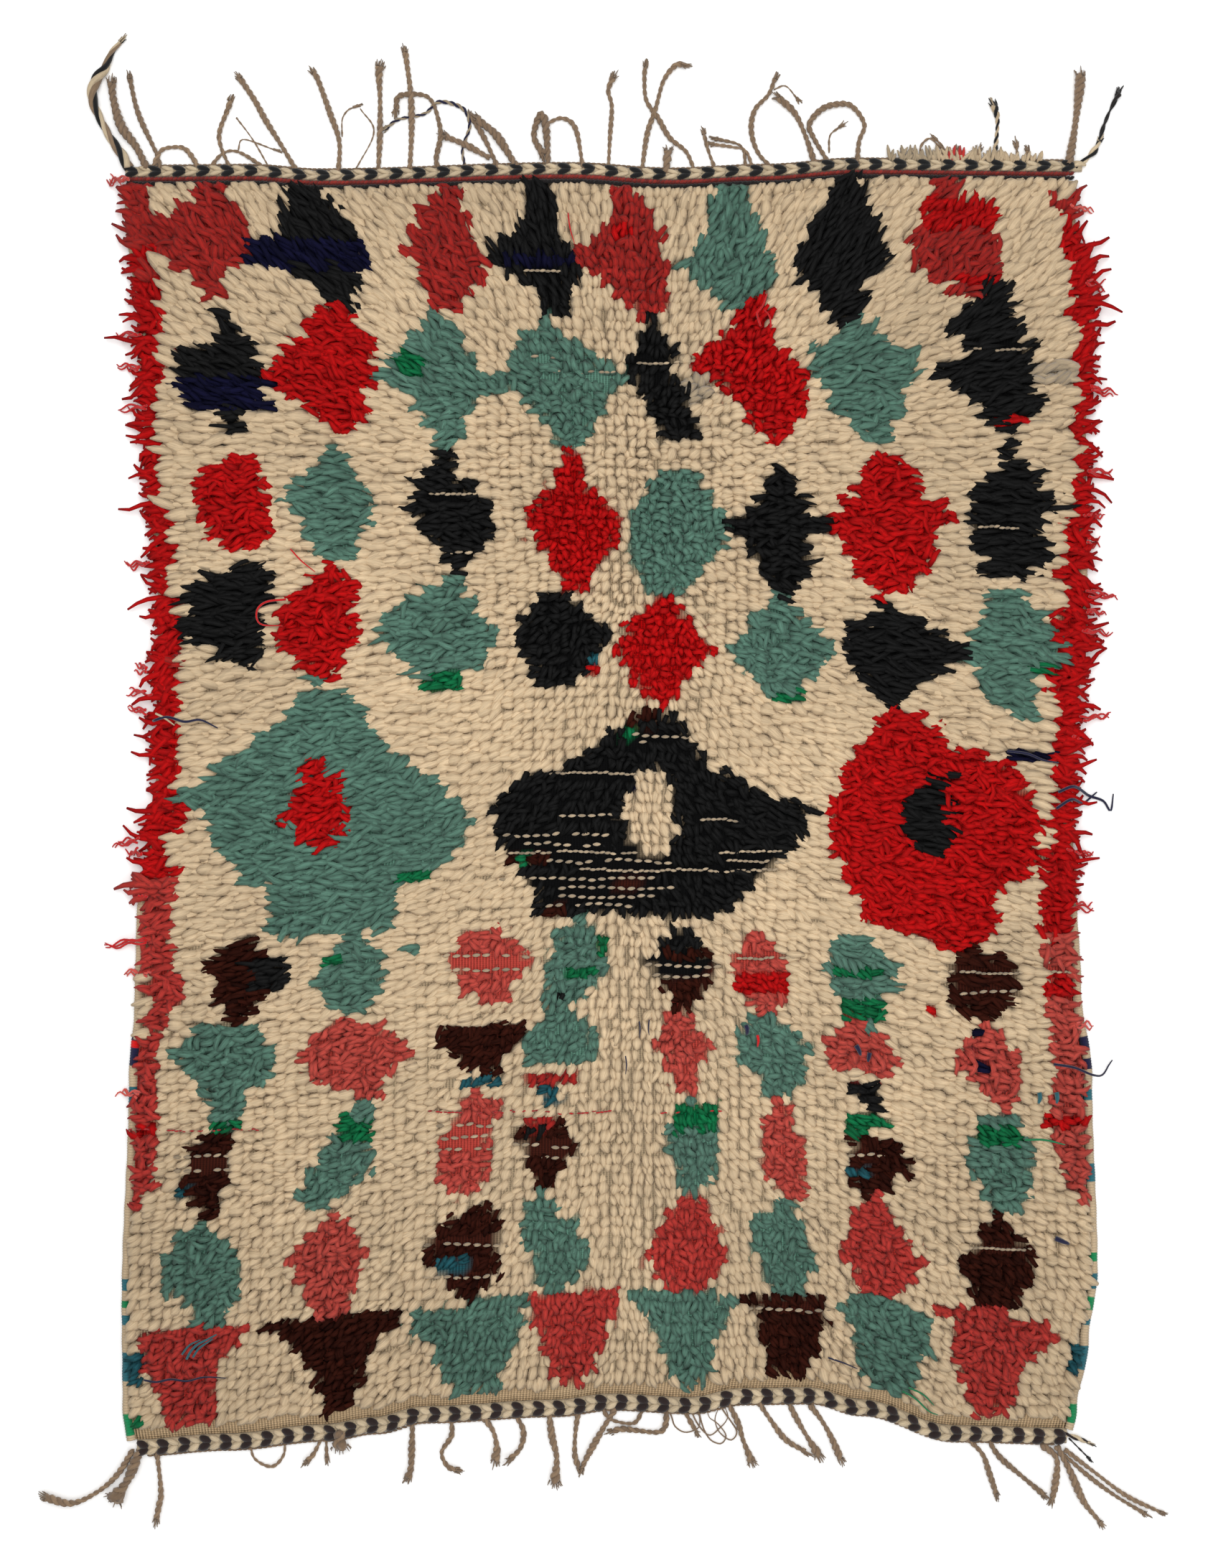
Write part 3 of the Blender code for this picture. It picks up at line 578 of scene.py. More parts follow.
def piece(name, part, material, node):
    """A mesh object with its coordinates for the material, riding on the body."""
    mesh = bpy.data.meshes.new(name)
    mesh.vertices.add(len(part["corners"]))
    mesh.vertices.foreach_set("co", np.ascontiguousarray(part["corners"], np.float32).ravel())
    mesh.loops.add(len(part["flat"]))
    mesh.loops.foreach_set("vertex_index", part["flat"].astype(np.int32))
    starts = np.concatenate([[0], np.cumsum(part["sizes"])[:-1]])
    mesh.polygons.add(len(part["sizes"]))
    mesh.polygons.foreach_set("loop_start", starts.astype(np.int32))
    mesh.update(calc_edges=True)
    mesh.shade_smooth()
    for key in ("fibre", "yarn"):
        layer = mesh.attributes.new(key, "FLOAT_VECTOR", "POINT")
        layer.data.foreach_set("vector", part[key].astype(np.float32).ravel())
    if "dye" in part:
        layer = mesh.attributes.new("dye", "FLOAT_COLOR", "POINT")
        opaque = np.concatenate([part["dye"], np.ones((len(part["dye"]), 1))], axis=1)
        layer.data.foreach_set("color", opaque.astype(np.float32).ravel())
    mesh.materials.append(material)
    made = bpy.data.objects.new(name, mesh)
    bpy.context.scene.collection.objects.link(made)
    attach(made, "root")
    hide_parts(node)
    return made


class Nodes:
    """A material's node tree with short calls to add and link nodes."""

    def __init__(self, name):
        self.material = bpy.data.materials.new(name)
        self.material.use_nodes = True
        self.tree = self.material.node_tree
        self.shader = self.tree.nodes["Principled BSDF"]

    def add(self, kind, inputs=None, **settings):
        node = self.tree.nodes.new(kind)
        for key, value in settings.items():
            setattr(node, key, value)
        for key, value in (inputs or {}).items():
            if isinstance(value, bpy.types.NodeSocket):
                self.tree.links.new(value, node.inputs[key])
            else:
                node.inputs[key].default_value = value
        return node

    def attribute(self, name):
        return self.add("ShaderNodeAttribute", attribute_name=name)

    def math(self, operation, a, b):
        return self.add("ShaderNodeMath", {0: a, 1: b}, operation=operation).outputs[0]

    def spread(self, value, low, high, to_low, to_high):
        keys = {"Value": value, "From Min": low, "From Max": high, "To Min": to_low, "To Max": to_high}
        return self.add("ShaderNodeMapRange", keys).outputs["Result"]

    def noise(self, vector, scale, detail=2.0):
        keys = {"Vector": vector, "Scale": scale, "Detail": detail}
        return self.add("ShaderNodeTexNoise", keys).outputs["Fac"]

    def mix(self, factor, a, b, blend="MIX"):
        keys = {0: factor, 6: a, 7: b}
        return self.add("ShaderNodeMix", keys, data_type="RGBA", blend_type=blend).outputs[2]

    def shaded(self, colour, shade):
        grey = self.add("ShaderNodeCombineColor", {0: shade, 1: shade, 2: shade}).outputs[0]
        return self.mix(1.0, colour, grey, "MULTIPLY")

    def bump(self, height, strength, distance):
        keys = {"Strength": strength, "Distance": distance, "Height": height}
        self.link(self.add("ShaderNodeBump", keys).outputs["Normal"], "Normal")

    def link(self, value, key):
        self.tree.links.new(value, self.shader.inputs[key])


def four(colour, scale):
    """A linear colour for a node socket."""
    return (*np.clip(np.asarray(colour) * scale, 0, 1), 1.0)


def wool(name, base, root=0.45, fibre_scale=1100.0, bump=0.6, fade=0.25, sheen=0.25,
         painted_flank_shade=0.62, gloss=0.15):
    """Spun wool: painted shade on its roots and flanks and a painted falloff of light away from the middle
    of the rug; uneven from lock to lock, with fine fibres along it.
    """
    n = Nodes(name)
    fibre = n.attribute("fibre").outputs["Vector"]
    yarn = n.add("ShaderNodeSeparateXYZ", {"Vector": n.attribute("yarn").outputs["Vector"]})
    tint, along, upper = yarn.outputs[0], yarn.outputs[1], yarn.outputs[2]
    place = n.add("ShaderNodeTexCoord").outputs["Object"]
    hairs = n.noise(fibre, fibre_scale, 3.0)
    clouds = n.noise(place, 7.0, 3.0)
    far = n.add("ShaderNodeVectorMath", {0: place}, operation="LENGTH").outputs["Value"]
    if base is None:
        shade = n.spread(tint, 0.0, 1.0, 1.0 - fade, 1.0 + fade)
        colour = n.shaded(n.attribute("dye").outputs["Color"], shade)
    else:
        colour = n.mix(tint, four(base, 1.0 - fade), four(base, 1.0 + fade))
    # painted shade: each lock darkens towards its root, where shade falls among the locks; root is its
    # darkest share
    painted_root_shade = n.spread(along, 0.0, 0.45, root, 1.0)
    streak = n.spread(hairs, 0.3, 0.7, 0.78, 1.12)
    # random cloudy tone, times a painted falloff of light that darkens the wool far from the middle of the
    # rug
    tone_and_painted_falloff = n.spread(clouds, 0.3, 0.7, 0.90, 1.06)
    tone_and_painted_falloff = n.math("MULTIPLY", tone_and_painted_falloff, n.spread(far, 0.25, 0.75, 1.0, 0.86))
    # painted shade: the lower flanks of each lock are darkened, down to the flank share at its underside
    painted_flank = n.spread(upper, 0.30, 0.95, painted_flank_shade, 1.0)
    shade = n.math("MULTIPLY", n.math("MULTIPLY", painted_root_shade, painted_flank), n.math("MULTIPLY", streak, tone_and_painted_falloff))
    n.link(n.shaded(colour, shade), "Base Color")
    n.link(n.spread(hairs, 0.2, 0.8, 0.92 - gloss, 0.98 - gloss), "Roughness")
    n.shader.inputs["Sheen Weight"].default_value = sheen
    n.shader.inputs["Sheen Roughness"].default_value = 0.6
    n.shader.inputs["Specular IOR Level"].default_value = gloss
    n.bump(hairs, bump, 0.0008)
    return n.material


# How the yarn of each dye is modelled: locks a knot, half width, half thickness and side-to-side wave
# in millimetres, bends in the wave, how loosely it lies, how far a knot's locks gather to one tip,
# reach against the cream's, rings, sides, and the widths along a lock
Yarn = namedtuple("Yarn", "locks width thick wave bends loose gather reach rings sides widths")
STATIONS = (0.0, 0.28, 0.56, 0.84, 1.0)
BLOCK = (0.74, 0.88, 0.92, 0.86, 0.42)
PUFF = (0.70, 1.00, 1.02, 0.82, 0.24)
LEAF = (0.60, 0.95, 1.00, 0.72, 0.14)
HAIR = (0.85, 1.00, 0.90, 0.62, 0.10)
CORAL_YARN = Yarn(3, 3.4, 2.5, 2.0, 2.0, 0.40, 0.35, 0.95, 6, 3, LEAF)
GREEN_YARN = Yarn(3, 2.9, 2.2, 1.4, 1.4, 0.22, 0.60, 1.00, 5, 3, HAIR)
YARNS = {
    "cream": Yarn(2, 4.7, 3.0, 1.2, 1.4, 0.13, 0.15, 1.00, 5, 4, PUFF),
    "teal": Yarn(3, 3.6, 2.6, 1.8, 1.8, 0.30, 0.40, 1.12, 5, 3, LEAF),
    "coral": CORAL_YARN,
    "madder": CORAL_YARN,
    "rose": CORAL_YARN,
    "red": Yarn(3, 3.4, 2.5, 2.4, 2.0, 0.42, 0.20, 0.85, 6, 3, HAIR),
    "black": Yarn(3, 3.1, 2.3, 1.2, 1.5, 0.24, 0.75, 1.15, 6, 3, HAIR),
    "brown": Yarn(3, 3.0, 2.3, 1.2, 1.5, 0.24, 0.70, 1.05, 6, 3, HAIR),
    "navy": Yarn(3, 3.0, 2.3, 1.2, 1.5, 0.24, 0.70, 1.10, 6, 3, HAIR),
    "green": GREEN_YARN,
    "blue": GREEN_YARN,
    "grey": Yarn(2, 4.2, 2.6, 1.3, 1.3, 0.25, 0.40, 1.00, 5, 4, LEAF),
}
# How the wool of each dye looks, where it isn't as wool() has it; root and the flank share are painted
# shade at the roots and lower flanks of the locks
WOOLS = {
    "cream": {"root": 0.70, "fibre_scale": 700.0, "bump": 0.8, "fade": 0.09, "sheen": 0.08, "painted_flank_shade": 0.72},
    "teal": {"root": 0.35, "fade": 0.24, "sheen": 0.05, "painted_flank_shade": 0.34},
    "coral": {"root": 0.50, "fade": 0.20, "sheen": 0.03, "painted_flank_shade": 0.46, "gloss": 0.10},
    "madder": {"root": 0.50, "fade": 0.20, "sheen": 0.03, "painted_flank_shade": 0.48, "gloss": 0.10},
    "rose": {"root": 0.50, "fade": 0.20, "sheen": 0.03, "painted_flank_shade": 0.50, "gloss": 0.10},
    "red": {"root": 0.45, "fade": 0.22, "sheen": 0.0, "painted_flank_shade": 0.52, "gloss": 0.14},
    "black": {"root": 0.10, "fade": 0.95, "sheen": 0.0, "painted_flank_shade": 0.05, "gloss": 0.20},
    "brown": {"root": 0.40, "fade": 0.50, "sheen": 0.0, "painted_flank_shade": 0.30, "gloss": 0.06},
    "navy": {"root": 0.40, "fade": 0.50, "sheen": 0.0, "painted_flank_shade": 0.35, "gloss": 0.08},
    "green": {"root": 0.50, "fade": 0.30, "sheen": 0.0, "painted_flank_shade": 0.45},
    "blue": {"root": 0.50, "fade": 0.30, "sheen": 0.0, "painted_flank_shade": 0.45},
}
CREAM_STRIPS = 3
KNOT_PITCH = 1.04 / COLUMNS
# Cream knots that are one lock: how many, how much stouter, and how near their middle
SINGLE_CREAM = 0.42
SINGLE_STOUT = 1.45
SINGLE_ASIDE = 0.2
# How far a knot and its locks stray from the lie of the pile, and roots from their places
KNOT_STRAY = 0.8
LOCK_STRAY = 0.7
CREAM_JITTER = 0.0008
DYED_JITTER = 0.0018
# The length of upright and of lying locks, and of the shortest, in metres
UPRIGHT_REACH = 0.0128
LYING_REACH = 0.0205
LEAST_REACH = 0.0125
STUB_REACH = 0.004
# The share of a lock that lies ahead of its knot, and how far locks go over the bands at the top end
AHEAD_SHARE = 0.66
OVER_BANDS = -0.0015
BLACK_OVER_BANDS = 0.006
# Locks of the side rims: a few reach far, those near the top less, and all droop and are stouter
RIM_REACH = 0.05
RIM_FEW = 7
RIM_TOP = (0.600, 0.75)
RIM_DROOP = 0.2
RIM_STOUT = 0.12
RIM_TIP = 0.38
# Worn knots: the share of their reach that is left, and their height
WORN_REACH = 0.5
WORN_HEIGHT = 0.0085
# Heights of locks against the pile, of their tips against them, of their feet, and the room under them
HEIGHTS = (0.78, 1.10)
TIP_HEIGHTS = (0.50, 0.80)
FOOT_HEIGHT = 0.35
FLOOR_ROOM = 0.0004
# Middle and half width of the stretch where the pile parts in grooves up the length, its top end, and
# the width of its locks
GROOVED = (0.055, 0.050)
GROOVED_TOP = 0.3
GROOVED_WIDTH = 0.86
# The stretch of y where the pile of the side borders hangs over the side cords
RIM = (-0.125, 0.665)
RIM_DYES = ("coral", "madder", "rose", "red")


def locks(at, short, rim, yarn, lean):
    """The locks of the knots of one dye, from their roots in the matted foot of the pile to their tips."""
    plain = yarn is YARNS["cream"]
    knot = np.repeat(np.arange(len(at)), yarn.locks)
    place = np.tile((np.arange(yarn.locks) + 0.5) / yarn.locks - 0.5, len(at))
    stout = np.ones(len(knot))
    if plain:
        single = rng.uniform(size=len(at)) < SINGLE_CREAM
        stout[single[knot]] = SINGLE_STOUT
        place[single[knot] & (place < 0)] *= SINGLE_ASIDE
        kept = (place < 0) | ~single[knot]
        knot, place, stout = knot[kept], place[kept], stout[kept]
    n = len(knot)
    amount = np.minimum(1.0, np.hypot(lean[:, 0], 0.72 * lean[:, 1]))
    astray = (yarn.loose * (0.50 + 0.50 * amount))[:, None]
    knot_ahead = lean + rng.normal(0, 1, (len(at), 2)) * astray * KNOT_STRAY
    ahead = normalised(knot_ahead[knot] + rng.normal(0, 1, (n, 2)) * astray[knot] * LOCK_STRAY)
    beside = np.stack([-ahead[:, 1], ahead[:, 0]], axis=-1)
    amount, rim, short = amount[knot], rim[knot], short[knot]
    root = at[knot] + rng.normal(0, CREAM_JITTER if plain else DYED_JITTER, (n, 2))

    reach = (UPRIGHT_REACH + LYING_REACH * amount**1.6) * yarn.reach * rng.uniform(0.75, 1.25, n)
    far = rim * (RIM_REACH + rng.uniform(0, 1, n) ** RIM_FEW)
    reach = np.where(short, reach * WORN_REACH, reach * (1 + far))
    reach = reach * np.where((rim > 0) & (root[:, 1] > RIM_TOP[0]), RIM_TOP[1], 1.0)
    over = BLACK_OVER_BANDS if yarn is YARNS["black"] else OVER_BANDS
    room = eased(TOP_EDGE, root[:, 0]) - END_BANDS + over - root[:, 1]
    room = np.where(ahead[:, 1] > 0.3, room / ahead[:, 1].clip(0.3) / AHEAD_SHARE, 1.0)
    reach = np.maximum(np.minimum(reach, room.clip(LEAST_REACH)), STUB_REACH)
    root = root - ahead * (AHEAD_SHARE * (LEAST_REACH - room)).clip(0)[:, None]
    root = root - ahead * (reach * np.where(rim > 0, 0.26, 0.44 - 0.10 * amount))[:, None]

    height = pile_height(root[:, 0], root[:, 1]) * rng.uniform(*HEIGHTS, n) * (1 - RIM_DROOP * rim)
    height = np.where(short, WORN_HEIGHT, height)
    tip = height * (rng.uniform(*TIP_HEIGHTS, n) - RIM_DROOP * rim)
    t = np.linspace(0, 1, yarn.rings)[None, :]
    run = reach[:, None] * t ** (1.0 + 0.4 * (1 - amount))[:, None]
    rise = np.sin(np.minimum(t / 0.5, 1.0) * math.pi / 2)
    fall = np.clip((t - 0.5) / 0.5, 0, 1) ** 1.7
    low = height * FOOT_HEIGHT
    z = low[:, None] + (height - low)[:, None] * rise - (height - tip)[:, None] * fall

    grooved = np.abs(at[knot, 0] - GROOVED[0]) < GROOVED[1]
    grooved = grooved & (at[knot, 1] < GROOVED_TOP) & plain
    size = stout * np.where(grooved, GROOVED_WIDTH, 1.0) * (1 + RIM_STOUT * rim)
    size = (size * rng.uniform(0.87, 1.15, n) * MM)[:, None]
    upright = np.interp(t[0], STATIONS, BLOCK) * (1 - amount)[:, None]
    widths = size * (np.interp(t[0], STATIONS, yarn.widths) * amount[:, None] + upright)
    widths = np.maximum(widths, RIM_TIP * size * rim[:, None])
    z = np.maximum(z - yarn.thick * widths, yarn.thick * widths + FLOOR_ROOM)

    phase = rng.uniform(0, 6.3, (n, 1))
    turns = yarn.bends * rng.uniform(0.7, 1.3, (n, 1))
    sway = yarn.wave * MM * t**0.6 * np.sin(t * math.pi * turns + phase)
    sway = sway * (0.6 + 0.4 * amount + 0.7 * rim)[:, None]
    aside = (place * KNOT_PITCH * (0.86 + 0.14 * amount))[:, None] * (1 - yarn.gather * t) + sway
    flat = root[:, None] + ahead[:, None] * run[..., None] + beside[:, None] * aside[..., None]
    across = np.concatenate([beside, np.zeros((n, 1))], axis=-1)[:, None].repeat(yarn.rings, 1)
    return tubes(raised(flat, z), across, yarn.width * widths, yarn.thick * widths, yarn.sides, tints(n))


# The columns of extra knots at both rims, and how far knots stray from their column and row, in knots
RIM_COLUMNS = (-0.4, COLUMNS - 0.6)
COLUMN_STRAY = 0.10
ROW_STRAY = 0.07
# The bare margin of the cloth at its sides and lower end, and the knotted width and its upper end, as
# shares of the cloth
MARGIN = 0.004
KNOTTED_WIDTH = 0.992
KNOTTED_TOP = 0.997
# How far ahead of its root a knot is seen, and half the height of a worn row
SEEN_AHEAD = 0.006
WORN_HALF = 0.0055


def knots():
    """The place, dye, lie and wear of every knot of the pile."""
    columns = np.concatenate([RIM_COLUMNS[:1], np.arange(COLUMNS), RIM_COLUMNS[1:]])
    column, row = np.meshgrid(columns, np.arange(ROWS))
    column, row = column.ravel(), row.ravel()
    rim = (column < 2) | (column > COLUMNS - 3)
    extra = (column < 0) | (column == RIM_COLUMNS[1])
    column = column + rng.normal(0, COLUMN_STRAY, column.size)
    row = row + rng.normal(0, ROW_STRAY, row.size)
    start = FLATWEAVE_WIDTH / CLOTH_LENGTH + MARGIN
    u = MARGIN + KNOTTED_WIDTH * (column + 0.5) / COLUMNS
    v = start + (KNOTTED_TOP - start) * (row + 0.5) / ROWS
    at = cloth_points(np.clip(u, 0.002, 0.998), np.clip(v, start, 0.998))
    lean = lying(at[:, 0], at[:, 1])
    seen = at + lean * SEEN_AHEAD
    dye = charted(seen[:, 0], seen[:, 1])
    rim = rim & (at[:, 1] > RIM[0]) & (at[:, 1] < RIM[1])
    rim = rim & np.isin(dye, [CHART.index(name) for name in RIM_DYES])
    worn = np.zeros(len(at), bool)
    for left, right, y in (*WORN_LINES, *WORN_DASHES):
        near = np.abs(seen[:, 1] - y * MM) < WORN_HALF
        worn |= near & (seen[:, 0] > left * MM) & (seen[:, 0] < right * MM)
    used = ~extra | rim
    parts = (at, lean, dye, worn & (dye > 0), rim.astype(float))
    return [part[used] for part in parts]


def pile_pieces():
    """The knotted pile, one piece for each dye, the cream in strips."""
    at, lean, dye, short, rim = knots()
    made = []
    for index, name in enumerate(CHART):
        chosen = np.flatnonzero(dye == index)
        material = wool("wool_" + name, srgb(name), **WOOLS.get(name, {}))
        strips = np.array_split(chosen, CREAM_STRIPS) if name == "cream" else [chosen]
        for number, strip in enumerate(strips):
            part = locks(at[strip], short[strip], rim[strip], YARNS[name], lean[strip])
            label = f"pile_{name}" if len(strips) == 1 else f"pile_{name}_{number + 1}"
            made.append(piece(label, part, material, "rug"))
    return made


# Wefts in worn rows, in a line and in dashes: dye, share of gaps, then half width, pitch and length
LINE_WEFT = ("cream", 0.06, 0.0017, 0.0059, 0.0066)
DASH_WEFT = ("cream", 0.10, 0.0021, 0.92 * KNOT_PITCH, 0.0084)
# Thin stray wefts: left, right, y, then the same
STRAY_WEFTS = (
    (-522, -371, -383, "red", 0.35, 0.0010, 0.0042, 0.0052),
    (-198, 11, -364, "red", 0.30, 0.0010, 0.0042, 0.0052),
    (20, 130, -364, "red", 0.75, 0.0010, 0.0042, 0.0052),
)
# The sway and unevenness of a row of wefts in metres, its level in the pile, and its shades
WEFT_SWAY = 0.0012
WEFT_JITTER = 0.0004
WEFT_LEVEL = 0.86
WEFT_SHADES = (0.50, 0.85)


def wefts():
    """Rows where the pile is worn through: the weft that shows, and thin red stray ones."""
    parts = []
    for left, right, y, dye, gaps, half, pitch, length in (
        *((*row, *LINE_WEFT) for row in WORN_LINES),
        *((*row, *DASH_WEFT) for row in WORN_DASHES),
        *STRAY_WEFTS,
    ):
        at = np.arange(left * MM, right * MM, pitch)
        at = at[rng.uniform(size=len(at)) > gaps]
        if not len(at):
            continue
        line = y * MM + WEFT_SWAY * np.sin(at * 60 + y) + rng.normal(0, WEFT_JITTER, len(at))
        start = np.stack([at, line - half * 0.3], axis=-1)
        ahead = normalised(np.stack([np.ones(len(at)), rng.normal(0.08, 0.10, len(at))], axis=-1))
        top = pile_height(at, line) * WEFT_LEVEL - half
        shades = srgb(dye) * rng.uniform(*WEFT_SHADES, (len(at), 1))
        parts.append(leaves(start, ahead, length, half, half, top[:, None], shades, 5, 5))
    return piece("worn_wefts", joined(parts), wool("weft", None, root=1.0), "rug")


# The matted foot of the pile: its share of the pile's height, the painted shade that darkens its dyes where
# it shows between the locks, and the knots in from the edge over which it rises; then the unevenness and
# the underside of the ground, in metres
CORE_SHARE = 0.55
CORE_PAINTED_SHADE = 0.42
CORE_SLOPE = 1.5
GROUND_JITTER = 0.0006
UNDERSIDE = 0.0001
BARE_SHARE = FLATWEAVE_WIDTH / CLOTH_LENGTH * 1.3


def ground():
    """The woven ground with the bare strip at its lower end, and the backs of the knots under it; its top
    under the pile is darkened as painted shade.
    """
    u, v = np.meshgrid(np.linspace(0, 1, GROUND_CELLS[0] + 1), np.linspace(0, 1, GROUND_CELLS[1] + 1))
    index = np.arange(u.size).reshape(u.shape)
    u, v = u.ravel(), v.ravel()
    at = cloth_points(u, v)
    dye = np.array([srgb(name) for name in CHART])[charted(at[:, 0], at[:, 1])]
    bare = v < BARE_SHARE
    dye[bare] = srgb("tan")
    inside = np.minimum(u, 1 - u) * COLUMNS
    inside = np.minimum(inside, np.minimum(v - 0.010, 0.998 - v) * ROWS)
    core = pile_height(at[:, 0], at[:, 1]) * CORE_SHARE
    rise = GROUND_THICKNESS + (core - GROUND_THICKNESS) * np.clip(inside / CORE_SLOPE, 0, 1)
    rise = rise + rng.uniform(0, GROUND_JITTER, len(at))
    a, b = index[:-1, :-1].ravel(), index[:-1, 1:].ravel()
    c, d = index[1:, 1:].ravel(), index[1:, :-1].ravel()
    upper = np.stack([a, b, c, d], axis=1)
    lower = np.stack([d, c, b, a], axis=1) + len(at)
    rim = np.concatenate([index[0], index[1:, -1], index[-1, -2::-1], index[-2:0:-1, 0]])
    after = np.roll(rim, -1)
    side = np.stack([rim, rim + len(at), after + len(at), after], axis=1)
    faces = np.concatenate([upper, lower, side])
    cells = np.stack([u * COLUMNS, v * ROWS, 0 * u], axis=1)
    part = {
        "corners": np.concatenate([raised(at, rise), raised(at, np.full(len(at), UNDERSIDE))]),
        "flat": faces.ravel(),
        "sizes": np.full(len(faces), 4),
        "fibre": np.concatenate([cells, cells]),
        "yarn": np.full((2 * len(at), 3), 0.5),
        # painted shade: the top under the pile is darkened where it shows between the locks; the bare strip
        # and the underside keep their dyes
        "dye": np.concatenate([np.where(bare[:, None], dye, dye * CORE_PAINTED_SHADE), dye]),
    }
    return piece("ground_cloth", part, woven("ground_weave"), "rug")


# The turn of the ribs and of the fine wefts of the ground, in radians a knot
RIBS = 7 * math.pi
FINE_WEFTS = 10 * math.pi


def woven(name):
    """Plain weft-faced weave: ribs along the warps, fine wefts over them, in the dyes of the knots, with
    painted shade in the grooves and painted light on the ribs.
    """
    n = Nodes(name)
    cells = n.attribute("fibre").outputs["Vector"]
    part = n.add("ShaderNodeSeparateXYZ", {"Vector": cells})
    ribs = n.math("SINE", n.math("MULTIPLY", part.outputs[0], RIBS), 0.0)
    fine = n.math("SINE", n.math("MULTIPLY", part.outputs[1], FINE_WEFTS), 0.0)
    fuzz = n.noise(cells, 6.0, 4.0)
    weave = n.math("ADD", n.math("MULTIPLY", ribs, 0.60), n.math("MULTIPLY", fine, 0.2))
    height = n.math("ADD", weave, fuzz)
    # painted shade and light: the dyes darken in the grooves of the weave and lighten on its ribs; the fuzz
    # adds random tone
    shade = n.spread(height, -0.3, 1.3, 0.56, 1.30)
    n.link(n.shaded(n.attribute("dye").outputs["Color"], shade), "Base Color")
    n.link(n.spread(fuzz, 0.2, 0.8, 0.85, 0.98), "Roughness")
    n.shader.inputs["Specular IOR Level"].default_value = 0.1
    n.bump(height, 0.8, 0.0012)
    return n.material


# Side cords: the length of a turn of yarn, the step and the sides of the tube
TURN_LENGTH = 0.003
CORD_STEP = 0.001
CORD_SIDES = 6
CORD_CREAM = 0.80


def wrapped_cord(name, edge, side, wraps, node, material):
    """A side cord overcast with yarn, its turns as ridges round it, with painted shade between the turns.
    """
    low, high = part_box(node)
    y = np.arange(low[1] + CORD_STEP, high[1] - CORD_STEP, CORD_STEP)
    half = SELVEDGE[0] / 2 + CORD_INWARD
    x = eased(edge, y) - side * half
    centres = np.stack([x, y, np.full_like(x, SELVEDGE[1] / 2 + 0.0002)], axis=-1)[None]
    across = np.broadcast_to(np.array([1.0, 0, 0]), centres.shape)
    turn = 0.5 + 0.5 * np.cos(2 * math.pi * y / TURN_LENGTH + 0.6 * np.sin(y * 60))
    swell = 0.86 + 0.14 * turn + 0.05 * np.sin(y * 170)
    width = (half * swell)[None]
    height = (SELVEDGE[1] / 2 * (0.84 + 0.16 * turn))[None]
    part = tubes(centres, across, width, height, CORD_SIDES, np.array([0.5]), 1.0, True)
    colours = np.tile(srgb("cream") * CORD_CREAM, (len(y), 1))
    for dye, start, end in wraps:
        colours[(y > start * MM) & (y < end * MM)] = srgb(dye)
    # painted shade: the colours darken between the turns of yarn
    part["dye"] = np.repeat(colours * (0.7 + 0.3 * turn)[:, None], CORD_SIDES, axis=0)
    part["yarn"][:, 1] = 1.0
    return piece(name, part, material, node)


def leaves(start, ahead, length, half_width, half_height, z, colours, rings=6, sides=7):
    """Plump yarn segments, each tapered at both ends, lying in given directions."""
    n = len(start)
    t = np.linspace(0, 1, rings)
    flat = start[:, None] + ahead[:, None] * (t * length)[None, :, None]
    bulge = np.sin(math.pi * (0.08 + 0.84 * t)) ** 0.7
    heights = np.broadcast_to(z + LEAF_ARCH * np.sin(math.pi * t), (n, rings))
    across = sideways(ahead)[:, None].repeat(rings, 1)
    size = rng.uniform(0.9, 1.08, (n, 1))
    width, height = half_width * size * bulge, half_height * size * bulge
    part = tubes(raised(flat, heights), across, width, height, sides, tints(n), STREAK, True)
    return dyed(part, colours)


# Braids: the share of a turn's pitch that a turn covers and of the width it crosses, where it starts,
# its half height and level in the braid's height, and for each yarn its fill and how far it stands out
TURN_FORWARD = 0.52
TURN_INWARD = 0.36
TURN_START = 0.42
TURN_HEIGHT = 0.36
TURN_LEVEL = 0.56
TURN_YARNS = ((1.80, 0.0006), (1.50, 0.0))
SLOPE_STEP = 0.002


def braid(name, node, line_of, span, size, pitch, dyes, material, tails):
    """A flat braid of two yarns whose slender turns meet in chevrons on its centre line."""
    x = np.arange(span[0], span[1], pitch)
    parts = [strap(line_of, span, size, "braid_cream")]
    forward, inward = pitch * TURN_FORWARD, size[0] * TURN_INWARD
    length = math.hypot(forward, inward)
    half = pitch * 0.25 * inward / length
    for side in (1, -1):
        for order, (dye, (fill, lift)) in enumerate(zip(dyes, TURN_YARNS)):
            at = x + pitch * 0.5 * order + rng.normal(0, 0.0006, len(x))
            at = at[at < span[1] - pitch * 0.5]
            slope = (line_of(at + SLOPE_STEP) - line_of(at - SLOPE_STEP)) / (2 * SLOPE_STEP)
            start = np.stack([at, line_of(at) + side * size[0] * TURN_START], axis=-1)
            ahead = np.stack([np.full_like(at, forward), slope * forward - side * inward], axis=-1)
            colours = np.tile(srgb(dye), (len(at), 1))
            parts.append(leaves(start, normalised(ahead), length, half * fill, size[1] * TURN_HEIGHT,
                                size[1] * TURN_LEVEL + lift, colours))
    parts += [cord(points, width, end, plies, turn) for width, end, turn, plies, *points in tails]
    return piece(name, joined(parts), material, node)


